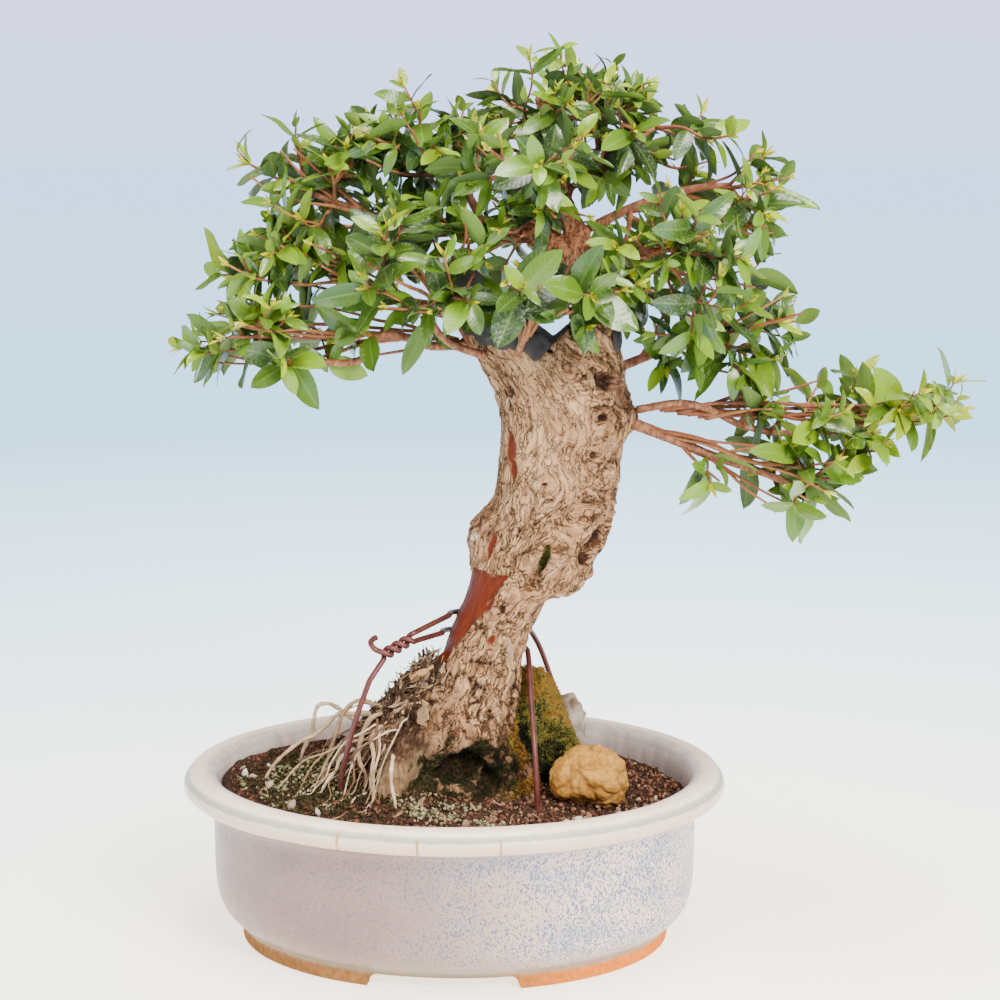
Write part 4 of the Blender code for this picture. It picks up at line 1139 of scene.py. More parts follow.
# Relief of the plates, and how near a crack each point is.
def plateRelief(points, grain, at):
    plateCrack, plateNumber = barkPlates(grain, "plate", 3, 0.2)
    stripCrack, stripNumber = barkPlates(grain, "strip", 7, 0.22)
    limbCrack = barkPlates(grain, "limb", 11, 0.3)[0]
    fine, leader, plain = at["fine"], at["leader"], 1 - at["fine"]
    gone = rise(cloud(points, 15, 5, 2), -0.3, 0.3)  # cracks fade out in places
    crack = plateCrack * plain * (0.25 + 0.75 * gone) + stripCrack * fine * (0.3 + 0.7 * gone)
    crack = crack * (1 - 0.7 * at["smooth"])
    crack = crack * (1 - leader) + limbCrack * leader
    crack = crack * (1 - 0.8 * at["roots"]) * (1 - 0.7 * at["limb"])
    depth = barkCare["plateDepth"] * plain + barkCare["stripDepth"] * fine
    depth = depth * (1 - leader) + barkCare["limbDepth"] * leader
    push = -crack * depth
    push += (plateNumber - 0.5) * barkCare["plateCurl"] * plain * (1 - at["limb"]) * (1 - at["roots"])
    push += (stripNumber - 0.5) * barkCare["stripCurl"] * fine * (1 - at["smooth"])
    return push, crack


# Adds the rough burls and the rings round the knots to the relief.
def addKnots(push, points, height, bearing, below):
    rough = sum(spot(height, bearing, *row) for row in roughSpots) * below
    push += rough * cloud(points, 6.5, 23, 3) * 2.4
    for middle, goal, reach, lift in knotRims:
        away = np.hypot(height - middle, turned(bearing, goal) * 0.5) + cloud(points, 7, 29) * 1.6
        push += lift * below * np.exp(-((away - reach * 0.62) / (reach * 0.24)) ** 2)
        push += 0.55 * below * np.sin(away * 2) * np.exp(-((away - reach * 0.9) / (reach * 0.7)) ** 2)


# Sinks the hollows into the relief, and gives back where they are, for the painted shade that darkens them.
def sinkHollows(push, points, height, bearing, below):
    dark = np.zeros(len(points))
    for middle, goal, spreadUp, spreadRound, deep in shadedHollows:
        inside = spot(height, bearing, middle, goal, spreadUp, spreadRound) * below
        inside = rise(inside + cloud(points, 4, 37, 2) * 0.16, 0.28, 0.85)
        push -= inside * deep
        dark = np.maximum(dark, inside)
    return dark


def makeTrunk():
    shapes = [fineSkin(0, 0), limb(*leader, 4, 22), limb(*leftLimb, 4, 14)]
    shapes += [stubShape(name) for name in boughs]
    shapes += [limb(route, radii, 4, 18) for route, *radii in thickRoots]
    points, ways, faces = melted(shapes, barkCare["voxel"], barkCare["softening"])
    height, bearing, nearness = onTrunk(points)
    grain = grainPlaces(points, height, bearing)
    at = barkRegions(points, height, bearing, nearness)
    below = at["below"]

    push, crack = plateRelief(points, grain, at)
    push += cloud(points, 15, 9, 2) * 0.9 + cloud(points, 5, 13, 2) * 0.35
    streaks = cloud(grain * np.array((1, 1, 0.18)), 3, 19, 3)
    push += streaks * 0.55 * (1 - at["limb"])
    addKnots(push, points, height, bearing, below)
    dark = sinkHollows(push, points, height, bearing, below)
    push -= spot(height, bearing, *undercut[:4]) * below * undercut[4]
    lean = (height - mossHollow[0]) * 0.12
    green = spot(height, bearing + lean * 4, *mossHollow[:4]) * below
    green = rise(green + cloud(points, 3, 41) * 0.08, 0.3, 0.8)
    push -= green * mossHollow[4]

    margin = peelMargin(points, height, bearing)
    peel = rise(margin, -0.35, 0.45) * (nearness < 1.5)
    for row in redPatches:
        patch = spot(height, bearing, *row) + cloud(points, 3.5, 43, 2) * 0.12
        peel = np.maximum(peel, rise(patch, 0.42, 0.62) * below)
    lip = np.exp(-((margin + 0.9) / 0.8) ** 2) * (nearness < 1.5) * rise(height, 138, 150)
    push = push * (1 - peel) - barkCare["peelDepth"] * peel + barkCare["peelLip"] * lip
    push += peel * streaks * 0.25
    push = np.clip(push, -barkCare["deepest"], barkCare["highest"])
    plain = points
    points = plain + ways * push[:, None]

    burl = np.clip(sum(spot(height, bearing, *row[:4]) * row[4] for row in darkBurls), 0, 1) * below
    front = rise(-bearing, -25, 5) * rise(bearing, -135, -110)
    mossLine = 108 + cloud(points, 12, 53, 2) * 9 + 9 * rise(bearing, -60, -20)
    moss = rise(mossLine - height, -2, 4) * front * rise(cloud(points, 4, 59, 2), -0.6, -0.1)
    # dark: how far inside a sunk hollow each point is, for the painted shade there
    marks = {
        "crack": crack * (1 - peel), "peel": peel, "dark": dark, "lush": green,
        "burl": rise(burl + cloud(plain, 4.5, 83, 3) * 0.22, 0.22, 0.75),
        "moss": np.maximum(moss * (nearness < 1.5), green * 0.9),
        "footDarkening": rise(mossLine - height, -7, 5) * front,
        "orange": rise(bearing + cloud(points, 9, 61) * 16, -52, -26),
        "wound": rise(spot(height, bearing, *paleWound), 0.3, 0.6),
        "limb": at["limb"], "root": at["roots"] * (1 - peel), "smooth": at["smooth"], "heap": at["heap"],
        "grain": grain / 1000,
    }
    return buildPiece("trunk_bark", points, faces, [barkFinish()], ("trunk",), marks)


def barkFinish():
    f = Finish("cracked_bark", 0.9, 0.12)
    f.place = f.mark("grain", "Vector")
    streak = f.noise(1.4, 4, (1, 1, 0.16))
    patchy = f.noise(9, 3, (1, 1, 0.5))
    speck = f.noise(0.8)
    patches = f.noise(7)
    regions = f.noise(24, 2)
    straight = f.place
    f.place = f.crooked(2.4, 6)
    f.place = f.crooked(0.8, 1.6)
    cellEdge, cellTone = f.cells(4.6, (1, 1, 0.34))
    ridge = f.ridges(3.4, 4, (1, 1, 0.34))
    fineRidge = f.ridges(1.5, 3, (1, 1, 0.45))
    f.place = straight

    mottle = f.noise(3.2, 5, (1, 1, 0.5))
    tone = f.plus(f.times(cellTone, 0.35), f.times(mottle, 0.65))
    plate = f.ramp(tone, (0.28, *brown), (0.42, *tan), (0.54, *light), (0.68, *cream))
    calm = f.ramp(patchy, (0.35, *tan), (0.52, *light), (0.7, *cream))
    plate = f.mix(f.times(f.mark("smooth"), 0.75), plate, calm)
    layers = (
        (cream, streak, (0.42, 0), (0.68, 0.6)),
        (brown, streak, (0.3, 0.75), (0.46, 0)),
        ((0.36, 0.205, 0.125), patchy, (0.54, 0), (0.74, 0.5)),
        ((0.29, 0.145, 0.072), regions, (0.42, 0.45), (0.55, 0)),
        (cream, regions, (0.55, 0), (0.7, 0.5)),
        ((0.2, 0.1, 0.05), speck, (0.58, 0), (0.74, 0.5)),
    )
    for layer in layers:
        plate = f.over(plate, *layer)

    # crooked cracks between plates of two sizes: broad in places, hair thin or healed in others
    def crackLines(edge, least, most, soft):
        width = f.plus(f.times(f.ramp(patches, (0.36, 0), (0.68, 1)), most - least), least)
        return f.ramp(f.less(edge, width), (0, 1), (soft, 0))

    smooth = f.mark("smooth")
    wideLine = f.times(crackLines(cellEdge, -0.055, 0.05, 0.035), f.ramp(smooth, (0, 1), (0.9, 0.3)))
    thinLine = f.times(crackLines(ridge, -0.016, 0.012, 0.018), f.ramp(smooth, (0, 0.95), (1, 0.55)))
    hairLine = crackLines(fineRidge, -0.03, 0.01, 0.022)
    shade = f.times(f.ramp(ridge, (0, 0.42), (0.05, 0)), f.ramp(smooth, (0, 1), (1, 0.5)))
    lines = f.larger(wideLine, thinLine)
    lines = f.larger(lines, f.times(hairLine, 0.45))
    lines = f.times(lines, f.ramp(f.mark("root"), (0, 1), (1, 0.45)))
    deep = f.ramp(f.mark("crack"), (0.5, 0), (0.95, 1))
    cracked = f.mix(shade, plate, brown)
    cracked = f.mix(f.times(lines, 0.88), cracked, (0.08, 0.03, 0.012))
    cracked = f.mix(deep, cracked, (0.045, 0.019, 0.01))
    limbTone = f.ramp(f.noise(2.2, 4, (1, 1, 0.3)), (0.3, 0.12, 0.036, 0.016), (0.7, 0.34, 0.135, 0.062))
    cracked = f.mix(f.times(f.mark("limb"), 0.85), cracked, limbTone)
    rootTone = f.ramp(f.noise(7, 5), (0.32, 0.13, 0.062, 0.03), (0.5, 0.32, 0.21, 0.11),
                      (0.62, 0.36, 0.29, 0.16), (0.75, 0.2, 0.115, 0.06))
    rootTone = f.over(rootTone, (0.1, 0.048, 0.022), streak, (0.36, 0.7), (0.5, 0))
    onRoots = f.times(f.mark("root"), f.less(0.8, f.times(lines, 0.7)))
    cracked = f.mix(onRoots, cracked, rootTone)
    heapTone = f.ramp(f.noise(2, 5, (1, 1, 0.5)), (0.34, 0.018, 0.01, 0.006), (0.55, 0.085, 0.042, 0.022),
                      (0.75, 0.22, 0.13, 0.07))
    cracked = f.mix(f.mark("heap"), cracked, heapTone)
    burlTone = f.ramp(f.noise(2.6, 5), (0.34, 0.04, 0.016, 0.009), (0.52, 0.14, 0.058, 0.032),
                      (0.7, 0.34, 0.18, 0.1))
    cracked = f.mix(f.times(f.mark("burl"), 0.85), cracked, burlTone)
    red = f.ramp(f.noise(2.6, 4, (1, 1, 0.12)), (0.28, 0.085, 0.01, 0.002), (0.58, 0.145, 0.02, 0.003),
                 (0.78, 0.21, 0.045, 0.01))
    colour = f.mix(f.mark("peel"), cracked, red)
    # painted shade: the sunk hollows go near black
    hollowShade = f.ramp(f.noise(1.6), (0.35, 0.01, 0.006, 0.004), (0.75, 0.11, 0.045, 0.024))
    colour = f.over(colour, hollowShade, f.mark("dark"), (0.25, 0), (0.75, 1))
    tuft = f.noise(1.8, 5)
    greens = f.ramp(tuft, (0.3, 0.007, 0.007, 0.004), (0.5, 0.028, 0.028, 0.009), (0.75, 0.11, 0.105, 0.03))
    oranges = f.ramp(tuft, (0.3, 0.032, 0.015, 0.003), (0.5, 0.2, 0.074, 0.005), (0.75, 0.32, 0.145, 0.018))
    moss = f.mix(f.mark("orange"), greens, oranges)
    colour = f.over(colour, moss, f.mark("moss"), (0.2, 0), (0.6, 1))
    lush = f.ramp(f.noise(2.2, 4), (0.35, 0.03, 0.032, 0.01), (0.6, 0.15, 0.17, 0.035))
    colour = f.over(colour, lush, f.mark("lush"), (0.3, 0), (0.8, 1))
    colour = f.mix(f.mark("wound"), colour, (0.62, 0.52, 0.36))
    # darker towards the foot of the trunk's front, below the moss line
    colour = f.over(colour, (0.035, 0.018, 0.009), f.mark("footDarkening"), (0, 0), (1, 0.6))
    f.colour(colour)
    f.rough(f.ramp(f.mark("peel"), (0, 0.9), (1, 0.55)))
    calmer = f.less(1, f.larger(f.mark("peel"), f.mark("root")))
    domed = f.times(f.ramp(ridge, (0, 0), (0.06, 0.8), (0.2, 1)), calmer)
    sunk = f.times(f.times(lines, -1), calmer)
    f.bumps((domed, 0.8), (streak, 0.6), (speck, 0.22), (sunk, 1), (f.noise(2.4, 5), 0.4))
    return f.material


# Putty over the saw cut: the same cap as the solid, melted and drawn down in lobes

pasteCare = {"thickness": 2.2, "apron": 8, "voxel": 1.3}
# bearing, height, half width, half height of each lobe
pasteLobes = (
    (-158, 324, 5, 8), (-140, 317, 6.5, 9), (-122, 312, 7, 8.5), (-104, 309, 6.5, 7), (-88, 308, 5.5, 7),
    (-70, 306, 6, 6), (165, 322, 6, 8), (140, 316, 7, 8), (112, 310, 7, 7), (88, 307, 7, 6),
)
# middle, half sizes and turn in degrees of the two patches on the leader
limbPatches = (
    (Vector((82.5, -2, 306)), Vector((2.6, 8, 8.5)), -8),
    (Vector((79.5, 0, 325)), Vector((2.2, 5, 6)), -4),
)


def makePaste():
    cap = fineSkin(pasteCare["thickness"], pasteCare["thickness"])
    shapes = [shapeFrom(combine("cap", cap, [sawWedge(-pasteCare["apron"])], "INTERSECT", "MANIFOLD"))]
    for bearing, height, halfWidth, halfHeight in pasteLobes:
        middle = trunkPoint(height, math.radians(bearing), 0.2)
        shapes.append(pebble(middle, (halfWidth, 2.2, halfHeight), bearing + 90, 3, 5, 0.06))
    for middle, halfSizes, turn in limbPatches:
        shapes.append(pebble(middle, halfSizes, turn, 3, 9, 0.08))
    points, ways, faces = melted(shapes, pasteCare["voxel"], 6)
    push = cloud(points, 9, 67, 2) * 0.5 + cloud(points, 2.5, 71) * 0.1
    points = points + ways * push[:, None]
    tones = ((0.3, 0.026, 0.021, 0.019), (0.6, 0.042, 0.035, 0.032), (0.8, 0.072, 0.061, 0.053))
    putty = plainFinish("dark_cut_putty", 0.75, 0.15, (6, 5), tones, (1.2, 3, 0.15), (5, 3, 0.3))
    buildPiece("cut_paste_cap", points, faces, [putty], ("cut_paste",))


# Foliage: the solids' own twigs and leaves in fine form, with more of both between them

leafCare = {
    "alongSteps": 8,     # of a leaf; fewer for the tiny ones at a tip
    "tipSteps": 4,
    "acrossSteps": (-1, -0.5, 0, 0.5, 1),
    "thickness": 0.3,
    "petiole": 0.4,      # half its width
    "oldestPair": 3,     # pairs down a shoot from its tip, counted from 0
    "moreShoots": 1.15,  # more shoots, as a share of the solid's
    "moreSize": 0.94,    # and the size of their leaves
    "moreWidth": 0.8,    # and their width beside the solid's
    "bareTwigs": 10,     # to a bough
    "sprigs": 0.75,      # short side shoots to a twig
    "sprigReach": (9, 22),
    "roll": 70,          # the added leaves turn about their ribs by up to this many degrees
    "freshTips": 0.5,    # share of shoots with a tiny yellow tip
}
# where the crown is thickest: bough, middle, half sizes and number of shoots
denseSpots = (
    ("bough_top_left", (-20, -8, 402), (22, 28, 15), 6),
    ("bough_left_high", (-46, -14, 398), (26, 26, 14), 5),
    ("bough_top", (76, 0, 427), (24, 26, 9), 6),
    ("bough_top_right", (84, -6, 386), (20, 24, 16), 5),
    ("bough_right_high", (70, -10, 328), (16, 18, 16), 5),
    ("bough_right_middle", (102, 4, 300), (16, 20, 18), 5),
    ("bough_right_back", (96, 22, 318), (22, 18, 18), 4),
    ("bough_top_front", (22, -28, 396), (26, 20, 18), 5),
    ("bough_front_left", (-16, -24, 372), (16, 18, 14), 6),
)
# where the sky shows through the crown: x, z and half sizes, clear of added leaves
skyGaps = (
    (27, 335, 15, 12), (-122, 335, 18, 20), (240, 256, 17, 15), (222, 246, 18, 10), (-108, 384, 16, 14),
)


# A blade as an upper and a lower sheet that meet at its rim, with marks along and across for its finish.
def fineBlade(leaf, seed):
    base, heading, facing, length, width, curl, fold = leaf[:7]
    steps = leafCare["alongSteps"] if leaf[7] >= 0 else leafCare["tipSteps"]
    columns = leafCare["acrossSteps"]
    side = heading.cross(facing)
    wave = (seed % 7 - 3) * 0.012 * length
    upper, lower, alongs, acrosses = [], [], [], []
    for i in range(steps + 1):
        along = i / steps
        half = 0.5 * width * leafHalfWidth(min(max(along, 1e-4), 0.9999))
        half = max(half, leafCare["petiole"] * (1 - along) ** 4)
        for v in columns:
            sink = -curl * length * along * along + fold * half * abs(v) ** 1.3
            sink += wave * v * v * math.sin(along * 8 + seed)
            place = (base + heading * (length * along * (1 - 0.25 * curl * along)) + side * (half * v)
                     + facing * sink)
            thick = leafCare["thickness"] * (1 - abs(v))
            upper.append(place + facing * 0.5 * thick)
            lower.append(place - facing * 0.5 * thick)
            alongs.append(along)
            acrosses.append(abs(v))
    count, row = len(upper), len(columns)
    faces = []
    for i in range(steps):
        for j in range(row - 1):
            a, b, c, d = i * row + j, i * row + j + 1, (i + 1) * row + j + 1, (i + 1) * row + j
            faces.append((a, b, c, d))
            faces.append((count + d, count + c, count + b, count + a))
    under = [int(face[0] >= count) for face in faces]
    return upper + lower, faces, under, alongs * 2, acrosses * 2


# How young a leaf is: 0 for last year's, 1 for a fresh one.
def leafAge(leaf, draw):
    base, pair = leaf[0], leaf[7]
    out = (base - crownMiddle).length / 110 + 0.25 * (base.z - crownMiddle.z) / 100
    age = (0.62, 0.4, 0.2, 0.08, 0)[min(pair, 4)] + 0.25 * (out - 0.6) + draw.uniform(-0.22, 0.22)
    return min(max(age, 0), 1)


# Tiny fresh leaves at a shoot's tip.
def freshTip(points, draw):
    axis = (points[-1] - points[-2]).normalized()
    start = points[-1]
    leaves = []
    flat = axis.orthogonal().normalized()
    other = axis.cross(flat)
    twist = draw.uniform(0, math.pi)
    for pair in range(2):
        for halfTurn in (0, math.pi):
            turn = twist + halfTurn + pair * math.pi / 2
            side = flat * math.cos(turn) + other * math.sin(turn)
            heading = (axis * 1.5 + side * (0.9 - 0.4 * pair)).normalized()
            facing = (axis - heading * axis.dot(heading) - side * 0.2).normalized()
            length = draw.uniform(5, 8.5) - 2 * pair
            leaves.append((start, heading, facing, length, length * 0.3, -0.1, 0.4, -1))
    return leaves


# A short side shoot from a twig's middle.
def sprig(twig, radii, draw):
    k = draw.randrange(1, len(twig)) if len(twig) > 2 else 1
    start = twig[k - 1].lerp(twig[k], draw.random())
    heading = (twig[k] - twig[k - 1]).normalized()
    out = (start - crownMiddle).normalized()
    way = (heading * 0.5 + out * 0.5 + up * draw.uniform(0, 0.5) + jitter(draw, 0.9)).normalized()
    reach = draw.uniform(*leafCare["sprigReach"])
    bend = jitter(draw, 1) * reach * 0.14
    points = [start, start + way * reach * 0.5 + bend, start + way * reach + up * reach * 0.12]
    return points, [min(0.6, radii[k] * 0.8), 0.5, 0.42]


# Everything that grows on one bough beside the solid's own twigs and leaves.
def moreGrowth(name, twigs, obstacles):
    shoots, usual = boughs[name][5:]
    points, radii, heading = boughWood(name)
    joints = woodJoints(points, radii, max(1, len(points) // 4))
    for twig, twigRadii in twigs:
        joints += woodJoints(twig, twigRadii, 1)[:-1]
    added, leaves = [], []
    pads = [(boughs[name][3], boughs[name][4], round(shoots * leafCare["moreShoots"]))]
    pads += [row[1:] for row in denseSpots if row[0] == name]
    spots = [(Vector(middle), halfSizes) for middle, halfSizes, count in pads for _ in range(count)]
    for index, (middle, halfSizes) in enumerate(spots):
        draw = random.Random(f"{name} more {index}")
        way = anyWay(draw)
        target = middle + Vector([way[i] * halfSizes[i] * (0.3 + 0.62 * draw.random()) for i in range(3)])
        twig, twigRadii = twigTo(target, joints, draw)
        if hasRoom(twig, twigRadii, obstacles):
            added.append((twig, twigRadii, 0))
    bare = []
    for index in range(leafCare["bareTwigs"]):
        draw = random.Random(f"{name} bare {index}")
        target = inPad(Vector(boughs[name][3]), boughs[name][4], anyWay(draw), 0.9)
        start = points[0].lerp(points[min(3, len(points) - 1)], draw.random())
        twig, twigRadii = twigTo(target, [(start, (target - start).normalized(), 1.3)], draw)
        if hasRoom(twig, twigRadii, obstacles):
            bare.append((twig, twigRadii))
    for index, (twig, twigRadii) in enumerate(twigs + [row[:2] for row in added]):
        draw = random.Random(f"{name} sprig {index}")
        for _ in range(int(leafCare["sprigs"] + draw.random())):
            side, sideRadii = sprig(twig, twigRadii, draw)
            if hasRoom(side, sideRadii, obstacles):
                added.append((side, sideRadii, 1))
    for index, (twig, twigRadii) in enumerate(twigs):
        draw = random.Random(f"{name} old {index}")
        leaves += shootLeaves(twig, draw, usual * 0.9, 2, oldestOn(twig))
    for index, (twig, twigRadii, short) in enumerate(added):
        draw = random.Random(f"{name} new {index}")
        size = usual * leafCare["moreSize"] * draw.uniform(0.75, 1.15)
        more = shootLeaves(twig, draw, size, 0, min(1, oldestOn(twig)) if short else oldestOn(twig))
        leaves += [rolled(leaf, draw) for leaf in more if not inSkyGap(leaf)]
    kept = [leaf for leaf in leaves if not touches(blade(leaf, bladeThickness), obstacles)]
    return [row[:2] for row in added] + bare, kept


def inSkyGap(leaf):
    middle = leaf[0] + leaf[1] * leaf[3] * 0.5
    return any(math.hypot((middle.x - x) / wide, (middle.z - z) / high) < 1 for x, z, wide, high in skyGaps)


# The leaf turned about its own rib, so that some are seen edge on.
def rolled(leaf, draw):
    roll = math.radians(draw.uniform(-leafCare["roll"], leafCare["roll"]))
    base, heading, facing, length, width, curl = leaf[:6]
    facing = Matrix.Rotation(roll, 3, heading) @ facing
    width, curl = width * leafCare["moreWidth"], curl * draw.uniform(0.8, 2.2)
    return (base, heading, facing, length, width, curl, *leaf[6:])


def oldestOn(twig):
    reach = sum((b - a).length for a, b in zip(twig, twig[1:]))
    return min(leafCare["oldestPair"], int(reach / 9))


# One twig as a smooth tube that swells a little where leaves left it.
def fineTwig(points, radii, sides, seed):
    smooth = smoothRoute(points, 2.2)
    fine = []
    for k, radius in enumerate(spread(radii, len(smooth))):
        swell = 0.22 * max(0, math.sin(k * 2.1 + seed)) ** 6
        fine.append(radius * 1.06 + swell * min(radius, 1))
    return tube(smooth, fine, sides)


def makeBoughs():
    fixed = [trunkSkin()] + limbShapes() + rootShapes()
    grown = growFoliage(fixed)
    obstacles = BVHTree.FromPolygons(*joined(fixed))
    finishes = [leafFinish("leaf_upper", True), leafFinish("leaf_under", False), twigFinish()]
    total = 0
    for name, (twigs, leaves) in grown.items():
        moreTwigs, moreLeaves = moreGrowth(name, twigs, obstacles)
        total += len(leaves) + len(moreLeaves)
        makeBough(name, twigs + moreTwigs, leaves + moreLeaves, finishes)
    print("leaves in all:", total)


def makeBough(name, twigs, leaves, finishes):
    points, faces, finish = [], [], []
    marks = {"along": [], "across": [], "age": [], "tint": [], "thick": []}
    draw = random.Random(name + " looks")

    def add(morePoints, moreFaces, moreFinish, *moreMarks):
        shift = len(points)
        points.extend(morePoints)
        faces.extend(tuple(i + shift for i in face) for face in moreFaces)
        finish.extend(moreFinish)
        for values, more in zip(marks.values(), moreMarks):
            values.extend(more if isinstance(more, list) else [more] * len(morePoints))

    mainPoints, mainRadii, _ = boughWood(name)
    fine, k = boughCut(name)[:2]
    mainPoints[0] = fine[max(0, k - 10)]  # 5 mm into its stub, so that no gap shows
    for index, (route, radii) in enumerate([(mainPoints, mainRadii)] + twigs):
        shape = fineTwig(route, radii, 10 if index == 0 else 6, index)
        shade = draw.random()
        add(*shape, [2] * len(shape[1]), 0, 0, 0, shade, min(1, max(radii) / 2.4))
    tips = []
    for route, radii in twigs:
        if draw.random() < leafCare["freshTips"]:
            tips += freshTip(route, draw)
    for index, leaf in enumerate(leaves + tips):
        bladePoints, bladeFaces, bladeFinish, along, across = fineBlade(leaf, index)
        young = 1 if leaf[7] < 0 else 0.85 * leafAge(leaf, draw)
        add(bladePoints, bladeFaces, bladeFinish, along, across, young, draw.random(), 0)
    buildPiece(name + "_leafy", points, faces, finishes, (name,), marks, finish)


def leafFinish(name, upper):
    roughness, shine = (0.3, 0.5) if upper else (0.6, 0.2)
    f = Finish(name, roughness, shine)
    if upper:
        tones = ((0, 0.021, 0.045, 0.008), (0.25, 0.04, 0.086, 0.007), (0.55, 0.125, 0.23, 0.006),
                 (0.8, 0.27, 0.4, 0.006), (0.97, 0.56, 0.5, 0.008))
    else:
        tones = ((0, 0.075, 0.11, 0.042), (0.5, 0.14, 0.22, 0.035), (0.8, 0.28, 0.38, 0.025),
                 (0.97, 0.58, 0.54, 0.03))
    green = f.ramp(f.mark("age"), *tones)
    green = f.over(green, (0.012, 0.036, 0.012), f.mark("tint"), (0, 0), (1, 0.45))
    green = f.over(green, (0.1, 0.17, 0.018), f.noise(5, 2), (0.4, 0), (0.75, 0.2))
    rib = f.ramp(f.mark("across"), (0, 0.5), (0.08, 0.15), (0.16, 0))
    green = f.mix(rib, green, (0.17, 0.25, 0.05))
    veins = f.maths("SINE", f.less(f.times(f.mark("along"), 62), f.times(f.mark("across"), 10)))
    # grey dust on the upper side of old leaves
    if upper:
        dust = f.ramp(f.noise(1.3, 4), (0.54, 0), (0.7, 1))
        dust = f.times(dust, f.ramp(f.noise(16, 2), (0.4, 0), (0.6, 1)))
        dust = f.times(dust, f.ramp(f.mark("age"), (0.05, 0.45), (0.35, 0)))
        green = f.mix(dust, green, (0.36, 0.4, 0.32))
        f.rough(f.ramp(dust, (0, 0.27), (0.6, 0.7)))
    f.colour(green)
    f.bumps((veins, 0.014), (f.noise(2, 2), 0.1))
    return f.material


def twigFinish():
    f = Finish("twig_bark", 0.7, 0.3)
    thin = f.ramp(f.mark("tint"), (0, 0.15, 0.04, 0.014), (0.5, 0.27, 0.088, 0.026),
                  (1, 0.38, 0.165, 0.045))
    old = f.ramp(f.noise(2, 4, (1, 1, 0.5)), (0.3, 0.1, 0.03, 0.012), (0.52, 0.24, 0.088, 0.038),
                 (0.75, 0.42, 0.21, 0.105))
    colour = f.over(thin, old, f.mark("thick"), (0.3, 0), (0.75, 1))
    colour = f.over(colour, (0.07, 0.026, 0.012), f.noise(1), (0.5, 0), (0.75, 0.5))
    f.colour(colour)
    f.bumps((f.noise(0.9), 0.25))
    return f.material


# Soil, and what lies and grows on it

soilCare = {
    "rings": 40, "sides": 150,
    "lift": 1.5,    # of its underside off the floor, over the drain meshes
    "drop": 0.5,    # of its top below the solid's
    "inset": 0.6,   # off the pot's wall
    "grains": 2800, "grainSize": (1.5, 3.4),
    "crumbs": 7400, "crumbSize": (0.8, 1.9),
}


# A point in the pot's mouth, by its share of the way out and its turn.
def inPot(share, turn, inset=soilCare["inset"]):
    edge = wallInside(soilLevel) - inset
    return potMiddle + share * edge * math.cos(turn), share * (edge - ovalSqueeze) * math.sin(turn)


def makeSoil():
    rings, sides = soilCare["rings"], soilCare["sides"]
    underside, wallFoot = floorHeight + soilCare["lift"], potProfile[-2][1] + 1
    points = []
    for edge, height in ((potProfile[-1][0], underside), (wallInside(wallFoot), wallFoot)):
        points += ovalRing(edge - soilCare["inset"], height, sides)
    for ring in range(rings):
        share = 1 - ring / rings
        for k in range(sides):
            x, y = inPot(share, 2 * math.pi * k / sides)
            points.append((x, y, soilHeight(x, y) - soilCare["drop"]))
    points = np.array([tuple(p) for p in points])
    top = slice(2 * sides, None)
    points[top, 2] += cloud(points[top], 7, 3, 3) + cloud(points[top], 2.2, 4) * 0.45
    faces = [tuple(reversed(range(sides)))]
    for ring in range(rings + 1):
        for k in range(sides):
            a, b = ring * sides + k, ring * sides + (k + 1) % sides
            faces.append((a, b, b + sides, a + sides))
    faces.append(tuple(range((rings + 1) * sides, (rings + 2) * sides)))
    tones = ((0.3, 0.012, 0.007, 0.005), (0.55, 0.045, 0.022, 0.014), (0.8, 0.12, 0.06, 0.035))
    earth = plainFinish("moist_soil", 0.95, 0.15, (3, 6), tones, (1.6, 5, 0.8))
    buildPiece("soil_bed", points, faces, [earth], ("soil",))


# Many small lumps in one piece, each with its own tone: places, sizes, tones.
def scatteredLumps(places, sizes, tones, seed, flatness=1, detail=1):
    bm = bmesh.new()
    if detail:
        bmesh.ops.create_icosphere(bm, subdivisions=detail, radius=1)
    else:
        bmesh.ops.create_uvsphere(bm, u_segments=4, v_segments=2, radius=1)
    ball = np.array([vert.co for vert in bm.verts])
    ballFaces = np.array([[vert.index for vert in face.verts] for face in bm.faces])
    bm.free()
    draws = np.random.default_rng(seed)
    count = len(places)
    shaped = ball[None] * draws.uniform(0.72, 1.18, (count, len(ball), 1))
    shaped = shaped * draws.uniform(0.75, 1.2, (count, 1, 3)) * np.array((1, 1, flatness))
    shaped = np.einsum("nij,nkj->nki", randomTurns(draws, count), shaped)
    points = (np.asarray(places)[:, None] + shaped * np.asarray(sizes)[:, None, None]).reshape(-1, 3)
    faces = (ballFaces[None] + (np.arange(count) * len(ball))[:, None, None]).reshape(-1, 3)
    return points, [tuple(row) for row in faces.tolist()], np.repeat(tones, len(ball))


def randomTurns(draws, count):
    q = draws.normal(size=(count, 4))
    q /= np.linalg.norm(q, axis=1)[:, None]
    w, x, y, z = q.T
    return np.stack((np.stack((1 - 2 * (y * y + z * z), 2 * (x * y - z * w), 2 * (x * z + y * w)), -1),
                     np.stack((2 * (x * y + z * w), 1 - 2 * (x * x + z * z), 2 * (y * z - x * w)), -1),
                     np.stack((2 * (x * z - y * w), 2 * (y * z + x * w), 1 - 2 * (x * x + y * y)), -1)), 1)


